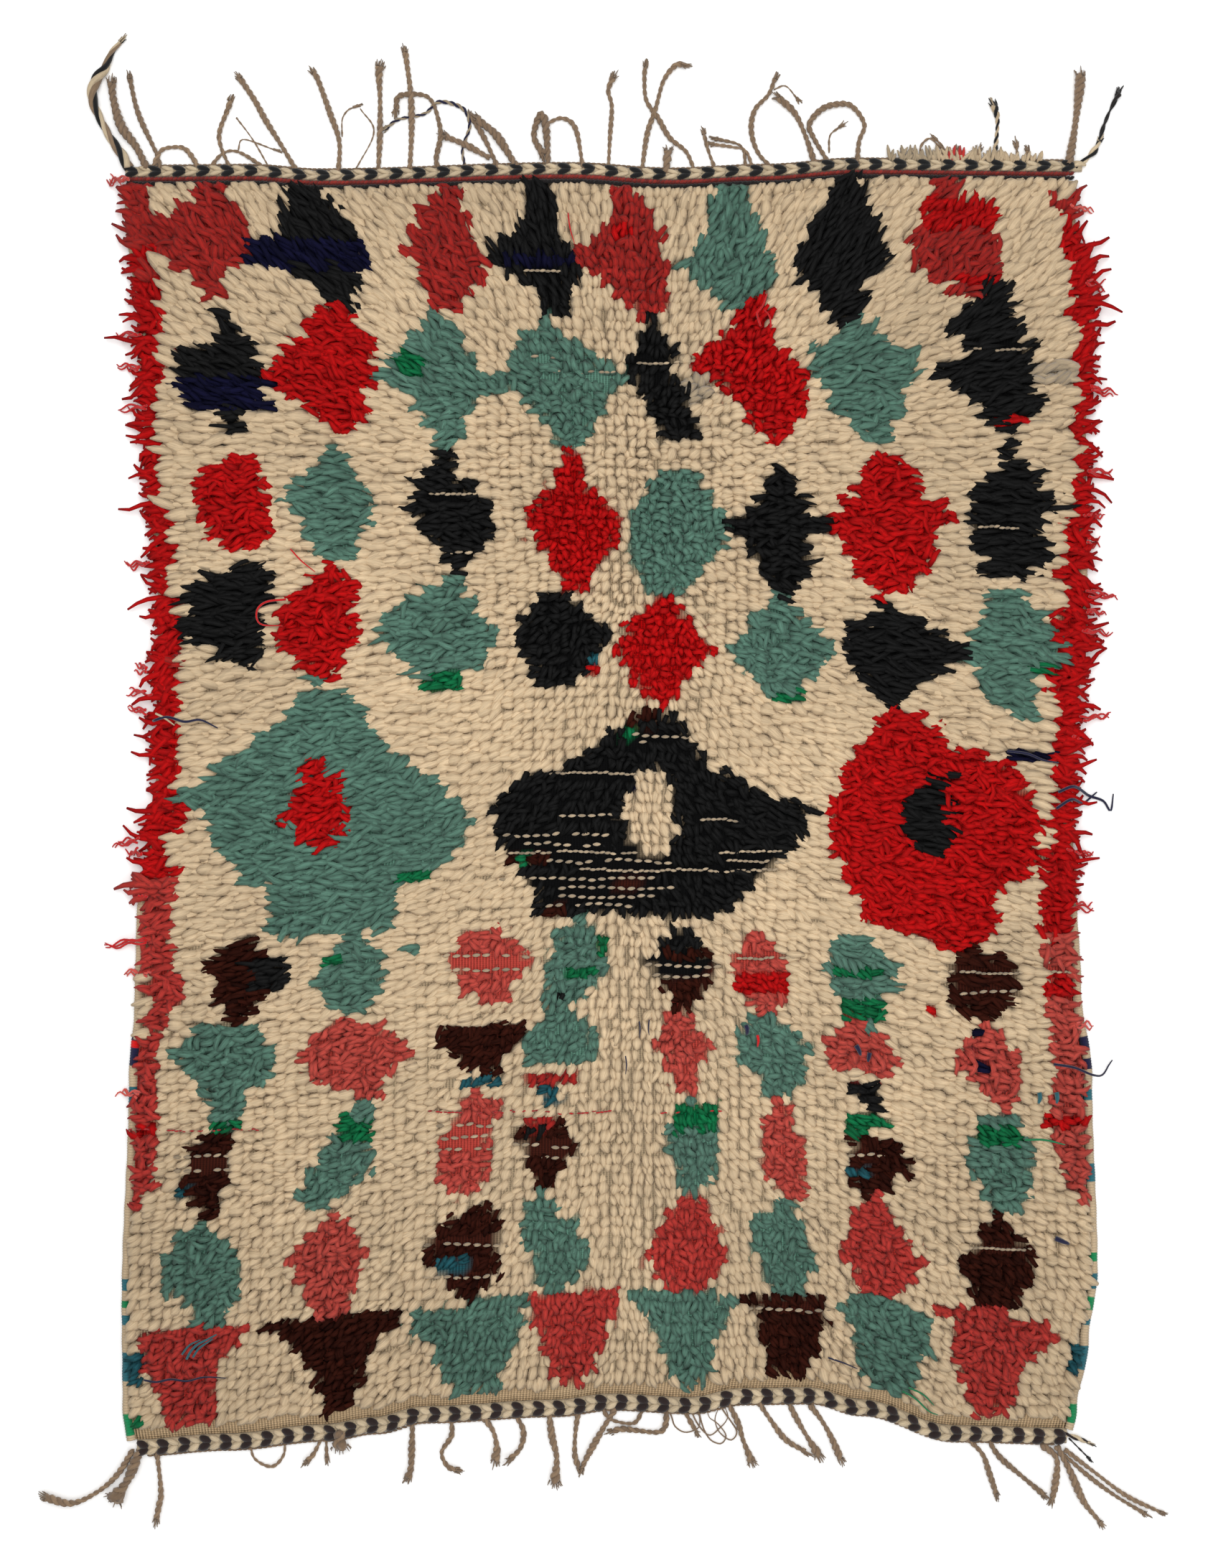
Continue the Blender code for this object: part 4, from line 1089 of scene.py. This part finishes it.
def strap(line_of, span, size, dye):
    """The flat inside of a braid or band, which shows between its turns, darkened as painted shade."""
    x = np.arange(span[0], span[1], 0.006)
    centres = np.stack([x, line_of(x), np.full_like(x, size[1] * 0.28)], axis=-1)[None]
    across = np.broadcast_to(np.array([0.0, 1.0, 0.0]), centres.shape)
    width = np.full((1, len(x)), size[0] * 0.5 + GAP)
    height = np.full((1, len(x)), size[1] * 0.26)
    part = tubes(centres, across, width, height, 8, np.array([0.4]), STREAK, True)
    # painted shade: the inside is darker where it shows between the turns
    return dyed(part, [srgb(dye) * 0.85])


# Twined bands: the pitch of the turns, their unevenness, length and half width, in metres
BAND_PITCH = 0.0043
BAND_JITTER = 0.0003
BAND_TURN = (0.0062, 0.0021)


def band(name, node, line_of, span, size, dye, material):
    """A twined band: short slanting turns of yarn, one after the other."""
    at = np.arange(span[0], span[1], BAND_PITCH)
    at = at + rng.normal(0, BAND_JITTER, len(at))
    start = np.stack([at, line_of(at) - size[0] * 0.28], axis=-1)
    ahead = normalised(np.tile((0.0052, size[0] * 0.60), (len(at), 1)))
    shades = srgb(dye) * rng.uniform(0.7, 1.25, (len(at), 1))
    turns = leaves(start, ahead, *BAND_TURN, size[1] * 0.42, size[1] * 0.5, shades, 5, 6)
    return piece(name, joined([strap(line_of, span, size, dye), turns]), material, node)


def smooth(points, spacing):
    """A smooth curve through rows of numbers in millimetres, read at even distances, in metres."""
    rows = np.array(points, float) * MM
    rows = np.concatenate([[rows[0] * 2 - rows[1]], rows, [rows[-1] * 2 - rows[-2]]])
    t = np.linspace(0, 1, 16, endpoint=False)[:, None]
    fine = [
        0.5 * (b * 2 + (c - a) * t + (a * 2 - b * 5 + c * 4 - d) * t**2 + (b * 3 - a - c * 3 + d) * t**3)
        for a, b, c, d in zip(rows, rows[1:], rows[2:], rows[3:])
    ]
    fine = np.concatenate([*fine, [rows[-2]]])
    run = np.concatenate([[0], np.cumsum(np.linalg.norm(np.diff(fine[:, :2], axis=0), axis=1))])
    even = np.linspace(0, run[-1], max(3, int(run[-1] / spacing) + 1))
    return np.stack([np.interp(even, run, fine[:, k]) for k in range(fine.shape[1])], axis=-1)


# Loose cords: the step along them and the length of a turn, in metres; in half widths of the cord, the
# level of its plies, how far they wind up and aside, and their radius
ROUTE_STEP = 0.0022
PLY_TURN = 0.0145
PLY_LEVEL = 0.95
PLY_RISE = 0.42
PLY_ASIDE = 0.46
PLY_RADIUS = 0.60
# Where a cord starts to widen or narrow to its end, and over what share of its length
ENDING = (0.7, 0.3)


def cord(points, width, end, dyes, turn=PLY_TURN):
    """A loose cord: plies twisted together, frayed into fine strands at its end."""
    route = smooth(points, ROUTE_STEP)
    ahead = normalised(np.gradient(route, axis=0))
    beside = sideways(ahead)
    t = np.linspace(0, 1, len(route))
    half = width * MM * 0.5 * (0.92 + 0.16 * np.sin(t * 9 + rng.uniform(0, 6)))
    half = half * (1 + (end / width - 1) * ramp(t, *ENDING))
    wind = np.arange(len(route)) * ROUTE_STEP * 2 * math.pi / turn + rng.uniform(0, 6)
    parts = []
    for ply, dye in enumerate(dyes):
        angle = wind + ply * 2 * math.pi / len(dyes)
        z = half * (PLY_LEVEL + PLY_RISE * np.sin(angle)) + FLOOR_ROOM
        aside = beside * (half * PLY_ASIDE * np.cos(angle))[:, None]
        centres = raised(route, z) + aside
        radius = half * PLY_RADIUS
        shade = srgb(dye) * rng.uniform(0.88, 1.12)
        part = tubes(centres[None], beside[None], radius[None], radius[None] * 0.9, 5,
                     rng.uniform(0.3, 0.7, 1), 0.15, True)
        parts.append(dyed(part, [shade]))
    parts.append(fray(route[-1], ahead[-1], half[-1], dyes))
    return joined(parts)


# Frayed ends: strands, rings a strand, their lengths and radius in metres, and how they narrow
FRAY_STRANDS = 12
FRAY_RINGS = 5
FRAY_LENGTHS = (0.004, 0.012)
FRAY_RADIUS = 0.0011
FRAY_TAPER = 0.6


def fray(at, ahead, half, dyes):
    """A brush of fine strands at the end of a cord."""
    n = FRAY_STRANDS
    t = np.linspace(0, 1, FRAY_RINGS)
    beside = np.array([-ahead[1], ahead[0]])
    place = rng.uniform(-1, 1, n)
    length = rng.uniform(*FRAY_LENGTHS, n) * (1.1 - 0.5 * np.abs(place))
    sway = place[:, None] * half * (0.85 + 0.35 * t) + rng.normal(0, 0.0010, (n, 1)) * t**2
    flat = at + ahead * (length[:, None] * t)[..., None] + beside * sway[..., None]
    z = (0.0010 + rng.uniform(0, 1, (n, 1)) * half * 1.3) * (1 - FRAY_TAPER * t) + 0.0003
    centres = raised(flat, z)
    across = np.broadcast_to(np.array([*beside, 0.0]), centres.shape)
    radius = np.broadcast_to(FRAY_RADIUS * (1 - FRAY_TAPER * t), (n, FRAY_RINGS))
    part = tubes(centres, across, radius, radius, 3, rng.uniform(0.2, 0.8, n))
    return dyed(part, [srgb(dyes[k % len(dyes)]) for k in range(n)])


PLAIN = ("taupe", "taupe")
PALE = ("taupe", "sand")
MIXED = ("black", "cream")
# Loose cords: width, width at the end, dyes, then x, y from root to tip
TOP_CORDS = (
    (11, 12, PLAIN, (-500, 676), (-512, 700), (-528, 722), (-537, 752), (-539, 770)),
    (6.5, 8, PLAIN, (-485, 676), (-490, 693), (-505, 725), (-513, 747), (-519, 775)),
    (6, 6, PALE, (-494, 674), (-486, 695), (-472, 700), (-457, 697), (-442, 676)),
    (5.5, 10, PALE, (-408, 675), (-419, 701), (-420, 718), (-411, 742), (-408, 750)),
    (4.5, 4.5, PALE, (-432, 676), (-417, 693), (-400, 695), (-371, 678)),
    (2, 2, PALE, (-400, 697), (-394, 709), (-361, 698)),
    (2, 2, PALE, (-402, 733), (-384, 709), (-367, 680)),
    (7, 10, PALE, (-334, 672), (-352, 702), (-369, 729), (-381, 751), (-397, 775)),
    (7, 9.5, PALE, (-289, 672), (-288, 706), (-298, 737), (-311, 773), (-316, 782)),
    (2, 2, PALE, (-285, 712), (-285, 731), (-279, 741), (-273, 744)),
    (2, 2, PALE, (-265, 743), (-250, 717), (-270, 676)),
    (7, 10, PALE, (-245, 674), (-243, 712), (-243, 754), (-244, 779), (-243, 788)),
    (7.5, 8.5, PALE, (-210, 676), (-208, 722), (-209, 758), (-213, 790), (-215, 804)),
    (6.3, 6.5, PALE, (-176, 672), (-181, 686), (-176, 712), (-179, 732), (-186, 751),
     (-198, 758), (-222, 756), (-225, 741)),
    (4.7, 5, ("navy", "grey"), (-148, 674), (-152, 698), (-144, 724), (-152, 743), (-178, 750),
     (-194, 737), (-222, 731), (-235, 722)),
    (6.5, 7, PLAIN, (-112, 676), (-129, 712), (-143, 734)),
    (10, 13, PLAIN, (-92, 678), (-115, 713), (-136, 730)),
    (8, 9.5, PLAIN, (-122, 688), (-150, 703), (-170, 711)),
    (9, 10, PLAIN, (-57, 677), (-60, 724), (-66, 735), (-73, 712), (-63, 692)),
    (6, 6, PLAIN, (-59, 726), (-42, 732), (-27, 720), (-19, 678)),
    (5.5, 9, PALE, (9, 675), (11, 712), (13, 745), (9, 762), (14, 776)),
    (6.3, 6.5, PALE, (46, 672), (52, 714), (61, 741), (70, 773), (83, 790), (90, 791)),
    (6.3, 6.5, PALE, (104, 675), (95, 695), (77, 710), (64, 732), (51, 752), (49, 777), (50, 788)),
    (10, 13, PALE, (73, 672), (74, 686), (75, 695)),
    (4.7, 5, PALE, (127, 676), (119, 698), (115, 714)),
    (4, 4, PALE, (161, 676), (156, 701), (130, 709)),
    (4, 4, PALE, (169, 676), (161, 696), (148, 700), (126, 703)),
    (6.3, 6.5, PALE, (194, 674), (175, 693), (167, 718), (171, 741), (186, 758), (193, 775)),
    (2, 2, PALE, (192, 764), (205, 768), (217, 755)),
    (7, 9, PLAIN, (238, 678), (227, 712), (215, 737), (197, 754)),
    (7, 7, PALE, (254, 680), (236, 710), (231, 725), (244, 741), (261, 747), (278, 745),
     (292, 725), (286, 706), (284, 680)),
    (2.5, 3, PALE, (253, 694), (254, 713), (264, 722)),
    (7, 9, PALE, (333, 680), (333, 690)),
    (3, 3, PALE, (356, 683), (354, 700), (364, 710), (374, 702)),
    (2.5, 3, PALE, (368, 684), (380, 698), (372, 708)),
    (7, 9, PALE, (392, 684), (394, 694)),
    (8, 10, PALE, (414, 684), (417, 696)),
    (5.5, 8, MIXED, (434, 684), (437, 702), (439, 729), (435, 745)),
    (4, 5, PALE, (462, 684), (460, 700)),
    (4, 5, PALE, (474, 684), (472, 696)),
    (9.5, 13, PLAIN, (517, 680), (524, 720), (528, 754), (530, 778)),
)
BOTTOM_CORDS = (
    (7, 10, PALE, (-516, -738), (-532, -764), (-554, -784), (-583, -797), (-612, -790)),
    (12, 20, PALE, (-508, -738), (-520, -768), (-534, -790)),
    (6.5, 9, PALE, (-490, -736), (-485, -784), (-487, -799), (-490, -814)),
    (4, 4, PALE, (-387, -728), (-382, -748), (-363, -757), (-350, -745), (-348, -728)),
    (5, 9, PALE, (-305, -720), (-316, -742), (-323, -750)),
    (4, 6, PALE, (-303, -720), (-302, -746)),
    (14, 20, PALE, (-287, -716), (-287, -732)),
    (8, 12, PALE, (-207, -704), (-208, -736), (-209, -758), (-212, -768)),
    (6.3, 6.5, PALE, (-165, -702), (-164, -722), (-175, -741), (-169, -756), (-160, -760)),
    (7, 11, PALE, (-133, -698), (-119, -716), (-114, -736), (-116, -748)),
    (7, 9, PALE, (-97, -696), (-85, -716), (-88, -736), (-99, -748)),
    (8.5, 13, PALE, (-57, -694), (-53, -724), (-48, -747), (-50, -772)),
    (6.3, 7, PALE, (-23, -690), (-27, -716), (-28, -743), (-24, -757)),
    (8, 8, PALE, (17, -692), (0, -720), (-13, -743), (-20, -758)),
    (5, 5, PALE, (2, -692), (12, -705), (37, -709), (47, -694)),
    (7, 7, PALE, (73, -692), (72, -711), (62, -719), (25, -715), (14, -718)),
    (6, 6, PALE, (92, -694), (106, -718)),
    (7, 9.5, PALE, (141, -686), (152, -708), (158, -728), (167, -750)),
    (7, 8, PALE, (175, -686), (190, -708), (205, -727), (226, -740)),
    (7, 11, PALE, (208, -686), (217, -704), (228, -723), (241, -743)),
    (7, 11, PALE, (231, -688), (244, -705), (255, -724), (265, -747)),
    (7, 9, PALE, (404, -724), (422, -743), (429, -762), (437, -786)),
    (7, 7, PALE, (429, -728), (441, -746), (465, -767), (489, -787)),
    (8.5, 8, PALE, (487, -732), (504, -748), (502, -777), (499, -793)),
    (9, 6.5, PALE, (504, -734), (518, -760), (533, -794), (551, -817)),
    (5.5, 5, PALE, (513, -738), (547, -764), (581, -789), (618, -807)),
    (5.5, 5, PALE, (510, -742), (540, -768), (570, -790), (600, -808)),
    (2, 2, ("black", "soot"), (518, -726), (528, -736), (538, -746)),
)
# Ends of the braids past the corners: width, width at the end, length of a turn in metres, dyes,
# then x, y from root to tip
TOP_BRAID_TAILS = (
    (11.5, 6, 0.052, ("black", "braid_cream", "sand"), (-520, 676), (-527, 690), (-543, 714),
     (-559, 748), (-558, 769), (-546, 787), (-540, 803), (-530, 816)),
    (7.5, 6, 0.030, ("braid_cream", "black"), (524, 678), (534, 684), (546, 696), (551, 706)),
    (4.5, 8, 0.030, ("black", "soot"), (549, 702), (560, 733), (572, 758)),
)
BOTTOM_BRAID_TAILS = (
    (6.5, 4, 0.024, ("braid_brown", "braid_cream"), (510, -720), (526, -725), (538, -730)),
)
# A tangle of thin curly thread under the lower braid: x, y
BOTTOM_CURLS = (
    ((74, -690), (79, -702), (83, -713), (95, -719), (108, -715), (110, -704), (107, -696)),
    ((109, -696), (112, -708), (116, -719), (123, -728), (134, -732), (139, -722), (130, -710),
     (121, -703), (118, -694)),
    ((134, -692), (145, -708), (151, -719), (144, -728), (132, -719), (127, -706), (130, -694)),
    ((100, -694), (109, -712), (121, -722), (133, -714), (141, -702), (138, -692)),
)
# Short frizzy tufts over the top braid: from, to, spacing, shortest, longest, dye
TUFTS = (
    (322, 372, 5.5, 9, 18, "grey"),
    (372, 452, 6.0, 9, 17, "cream"),
    (386, 400, 12, 14, 18, "coral"),
    (452, 490, 9, 8, 13, "cream"),
)
# Length, half width, half height and level of the warp ends and half width, half height and level of
# the tufts, in metres, the pitch of the warp ends, and the step along thin threads
WARP_END = (0.0065, 0.0014, 0.0018, 0.0022)
TUFT = (0.0022, 0.0020, 0.0055)
WARP_PITCH = 0.0055
THREAD_STEP = 0.003


def curls():
    """The tangle of thin curly thread under the lower braid."""
    parts = []
    for points in BOTTOM_CURLS:
        route = smooth(points, THREAD_STEP)
        z = 0.0022 + 0.0012 * np.sin(np.arange(len(route)) * 0.7)
        parts.append(strand(raised(route, z), 0.0009, "taupe"))
    return parts


def tufts(line_of):
    """Short frizzy tufts of pale yarn that stand out over the braid."""
    parts = []
    for first, last, spacing, shortest, longest, dye in TUFTS:
        x = np.arange(first, last, spacing) * MM
        x = x + rng.normal(0, 0.0012, len(x))
        for length in np.linspace(shortest, longest, 3) * MM:
            start = np.stack([x + rng.normal(0, 0.002, len(x)), line_of(x) - 0.002], axis=-1)
            ahead = normalised(np.stack([rng.normal(0, 0.45, len(x)), np.ones(len(x))], axis=-1))
            shades = srgb(dye) * rng.uniform(0.85, 1.05, (len(x), 1))
            parts.append(leaves(start, ahead, length, *TUFT, shades, 5, 5))
    return parts


def fringe(name, node, cords, material, low_edge, span, extra):
    """The loose cords of one end and the row of warp ends that they come from."""
    parts = [cord(points, width, end, dyes) for width, end, dyes, *points in cords]
    parts += extra
    at = np.arange(span[0], span[1], WARP_PITCH)
    start = np.stack([at, low_edge(at)], axis=-1)
    ahead = np.tile((1.0, 0.0), (len(at), 1))
    shades = srgb("taupe") * rng.uniform(0.8, 1.1, (len(at), 1))
    parts.append(leaves(start, ahead, *WARP_END, shades, 4, 5))
    return piece(name, joined(parts), material, node)


# Loose threads and flecks on the pile: width, dye, then x, y from end to end
THREADS = (
    (3.2, "navy", (-490, 66), (-474, 70), (-455, 65), (-438, 67), (-419, 58)),
    (2.6, "cream", (-487, 74), (-477, 69), (-466, 61)),
    (3.0, "navy", (446, 33), (468, 30), (485, 23), (502, 20)),
    (3.4, "navy", (500, -30), (517, -20), (533, -24), (549, -12)),
    (3.4, "navy", (502, -12), (520, -6), (540, -16), (556, -22), (564, -33), (567, -14)),
    (3.0, "navy", (497, -310), (520, -314), (540, -322), (554, -323), (566, -308)),
    (2.6, "green", (465, -393), (487, -393), (509, -398)),
    (1.8, "red", (-35, 622), (-33, 606), (-28, 589)),
    (1.8, "red", (-339, 254), (-327, 241), (-312, 229)),
    (2.6, "red", (-344, 199), (-366, 196), (-376, 186), (-372, 172), (-348, 170)),
    (2.4, "red", (176, 498), (172, 512), (178, 520), (183, 534)),
    (2.2, "red", (187, 496), (186, 508), (180, 516)),
    (3.0, "blue", (-453, -633), (-448, -624), (-441, -617), (-431, -612), (-420, -606)),
    (2.6, "blue", (-446, -631), (-440, -622), (-432, -616), (-424, -611)),
    (2.2, "blue", (-458, -628), (-450, -618), (-438, -612)),
    (2.4, "navy", (-500, -656), (-486, -658), (-470, -655), (-452, -657), (-434, -653), (-410, -654)),
    (6.0, "navy", (499, -501), (506, -504), (514, -507)),
    (5.5, "blue", (481, -341), (482, -347), (480, -353)),
    (5.5, "blue", (500, -341), (501, -347), (500, -353)),
    (5.5, "navy", (281, -290), (284, -295), (286, -301)),
    (5.0, "navy", (296, -298), (295, -303), (294, -308)),
    (5.5, "navy", (160, -268), (162, -273), (161, -279)),
    (3.6, "red", (173, -279), (174, -285), (173, -292)),
    (1.6, "navy", (43, -264), (44, -272), (43, -282)),
    (1.6, "navy", (54, -262), (53, -272), (54, -279)),
    (1.6, "navy", (28, -302), (29, -312), (28, -322)),
    (2.0, "navy", (250, -632), (268, -638), (282, -644)),
    (2.2, "green", (331, -668), (345, -676), (360, -690), (370, -694)),
    (2.2, "green", (338, -664), (354, -672), (366, -684)),
    (2.0, "coral", (-545, 664), (-538, 655), (-532, 662), (-526, 656), (-518, 660)),
    (2.0, "coral", (-541, 656), (-534, 664), (-524, 652)),
)
# Long curly ends past the side borders: x, y of the root, then of the tip
RIM_ENDS = (
    (-518, 661, -543, 666), (-508, 489, -534, 492), (-503, 455, -528, 458), (-500, 412, -529, 415),
    (-497, 240, -524, 239), (-496, 122, -515, 125), (-497, 96, -521, 96), (-498, 78, -520, 81),
    (-507, -66, -534, -69), (-504, -78, -522, -79), (-496, -176, -546, -184), (-500, -126, -518, -128),
    (-496, -210, -526, -212), (-508, -343, -530, -343), (519, 632, 541, 629), (536, 548, 558, 547),
    (540, 432, 568, 429), (538, 341, 566, 340), (536, 293, 555, 292), (537, 263, 552, 261),
    (535, 204, 569, 203), (534, 188, 556, 186), (532, 166, 560, 164), (526, 72, 563, 71),
    (521, 47, 542, 46), (518, -78, 542, -81), (517, -139, 546, -142), (524, -267, 545, -272),
)
# Where threads start to fall, inward of the edge of the cloth, how steeply, and how low they lie there
THREAD_FALL = (0.004, 0.9)
THREAD_LOW = 0.002
# The stretch of y where the curly ends are bright red
RED_ENDS = (-0.19, 0.57)


def loose_ends():
    """Stray threads on the pile and the long curly ends that hang past the side borders."""
    parts = []
    for width, dye, *points in THREADS:
        route = smooth(points, THREAD_STEP)
        x, y = route.T
        edge = np.where(x > 0, eased(RIGHT_EDGE, y), -eased(LEFT_EDGE, y))
        outside = np.maximum(np.abs(x) - edge + THREAD_FALL[0], 0)
        z = np.maximum(pile_height(x, y) + FLOOR_ROOM - outside * THREAD_FALL[1], THREAD_LOW)
        parts.append(strand(raised(route, z), width * MM / 2, dye))
    for x, y, tip_x, tip_y in np.array(RIM_ENDS, float) * MM:
        dye = "red" if RED_ENDS[0] < y < RED_ENDS[1] else "rose"
        for _ in range(3):
            t = np.linspace(0, 1, 12)
            start = np.array([x, y]) + rng.normal(0, 0.0025, 2)
            tip = np.array([tip_x, tip_y]) + rng.normal(0, 0.003, 2)
            flat = start + (tip - start) * t[:, None]
            flat[:, 1] += 0.0028 * np.sin(t * rng.uniform(7, 12) + rng.uniform(0, 6)) * (0.3 + t)
            z = 0.0145 * (1 - t) ** 1.4 + 0.0022
            parts.append(strand(raised(flat, z), 0.0015, dye))
    return piece("loose_ends", joined(parts), wool("stray", None, root=1.0, gloss=0.06), "rug")


def strand(route, half, dye):
    """One thin thread along a route in metres."""
    across = sideways(normalised(np.gradient(route[:, :2], axis=0)))
    radius = half * (1 - 0.55 * np.linspace(0, 1, len(route)) ** 3)
    part = tubes(route[None], across[None], radius[None], radius[None], 5, np.array([0.5]), STREAK, True)
    return dyed(part, [srgb(dye)])


# The camera's height over the floor, the height of the pile it frames, and the length it frames there
CAMERA = (0.0043, -0.0032, 2.2)
SEEN_HEIGHT = 0.010
SEEN_LENGTH = 1.7254
SENSOR = 36.0
# Soft lights: name, place, diameter in metres, power in watts
LIGHTS = (
    ("overhead", (-0.05, 0.6, 2.6), 2.6, 55),
    ("fill", (0.8, -1.6, 2.2), 2.0, 16),
)
WORLD_STRENGTH = 0.62


def stage():
    """The pale floor, the soft light from overhead and the camera over the rug, as in the photo."""
    bpy.ops.mesh.primitive_plane_add(size=12, location=(0, 0, -GAP))
    floor = bpy.context.object
    floor.name = "floor"
    n = Nodes("pale_floor")
    place = n.add("ShaderNodeTexCoord").outputs["Object"]
    n.link(n.mix(n.noise(place, 3.0), (0.90, 0.90, 0.895, 1), (0.93, 0.93, 0.925, 1)), "Base Color")
    n.shader.inputs["Roughness"].default_value = 0.9
    floor.data.materials.append(n.material)
    for label, location, size, power in LIGHTS:
        light = bpy.data.lights.new(label, "AREA")
        light.shape = "DISK"
        light.size = size
        light.energy = power
        lamp = bpy.data.objects.new(label, light)
        lamp.location = location
        lamp.rotation_mode = "QUATERNION"
        lamp.rotation_quaternion = lamp.location.to_track_quat("Z", "Y")
        bpy.context.scene.collection.objects.link(lamp)
    world = bpy.context.scene.world or bpy.data.worlds.new("world")
    bpy.context.scene.world = world
    world.use_nodes = True
    world.node_tree.nodes["Background"].inputs["Color"].default_value = (1, 1, 1, 1)
    world.node_tree.nodes["Background"].inputs["Strength"].default_value = WORLD_STRENGTH
    data = bpy.data.cameras.new("camera")
    data.lens = SENSOR * (CAMERA[2] - SEEN_HEIGHT) / SEEN_LENGTH
    camera = bpy.data.objects.new("camera", data)
    camera.location = CAMERA
    bpy.context.scene.collection.objects.link(camera)
    bpy.context.scene.camera = camera
    bpy.context.scene.view_settings.view_transform = "Standard"


def line_under(edge, *drops):
    """A line that runs under an edge by the sum of some distances in metres, as a function of x."""
    def line_of(x):
        y = eased(edge, x)
        for drop in drops:
            y = y - drop
        return y
    return line_of


# Spans of the twined bands, the braids and the rows of warp ends, in x
BAND_SPAN = (-0.523, 0.519)
TOP_BRAID_SPAN = (-0.524, 0.536)
BOTTOM_BRAID_SPAN = (-0.511, 0.520)
TOP_WARPS_SPAN = (-0.500, 0.512)
BOTTOM_WARPS_SPAN = (-0.500, 0.500)
# The pitch of the chevrons of each braid, and how far its row of warp ends lies past it
TOP_BRAID_PITCH = 0.0265
BOTTOM_BRAID_PITCH = 0.023
TOP_WARPS_PAST = -0.0015
BOTTOM_WARPS_PAST = 0.0018


def main():
    spun = wool("spun_yarn", None, root=1.0, fibre_scale=1300.0, bump=0.5, fade=0.12, sheen=0.15)
    cloth = ground()
    pile = [*pile_pieces(), wefts(), loose_ends()]
    sides = [
        wrapped_cord("side_cord_left", LEFT_EDGE, -1, LEFT_WRAPS, "selvedge_left", spun),
        wrapped_cord("side_cord_right", RIGHT_EDGE, 1, RIGHT_WRAPS, "selvedge_right", spun),
    ]
    top = TOP_BRAID[0] + GAP
    red_line = line_under(TOP_EDGE, top, RED_BAND[0] / 2)
    dark_line = line_under(TOP_EDGE, top, RED_BAND[0], GAP, DARK_BAND[0] / 2)
    bands = [
        band("twined_red", "band_top_red", red_line, BAND_SPAN, RED_BAND, "brick", spun),
        band("twined_dark", "band_top_dark", dark_line, BAND_SPAN, DARK_BAND, "soot", spun),
    ]
    braids = [
        braid("chevron_braid_top", "braid_top", line_under(TOP_EDGE, TOP_BRAID[0] / 2),
              TOP_BRAID_SPAN, TOP_BRAID, TOP_BRAID_PITCH, ("black", "braid_cream"), spun,
              TOP_BRAID_TAILS),
        braid("chevron_braid_bottom", "braid_bottom", line_under(LOWER_EDGE, GAP, BOTTOM_BRAID[0] / 2),
              BOTTOM_BRAID_SPAN, BOTTOM_BRAID, BOTTOM_BRAID_PITCH, ("braid_brown", "braid_cream"), spun,
              BOTTOM_BRAID_TAILS),
    ]
    fringes = [
        fringe("fringe_cords_top", "fringe_top", TOP_CORDS, spun,
               line_under(TOP_EDGE, TOP_WARPS_PAST), TOP_WARPS_SPAN, tufts(line_under(TOP_EDGE))),
        fringe("fringe_cords_bottom", "fringe_bottom", BOTTOM_CORDS, spun,
               line_under(LOWER_EDGE, BOTTOM_BRAID[0], BOTTOM_WARPS_PAST), BOTTOM_WARPS_SPAN, curls()),
    ]
    stage()


main()
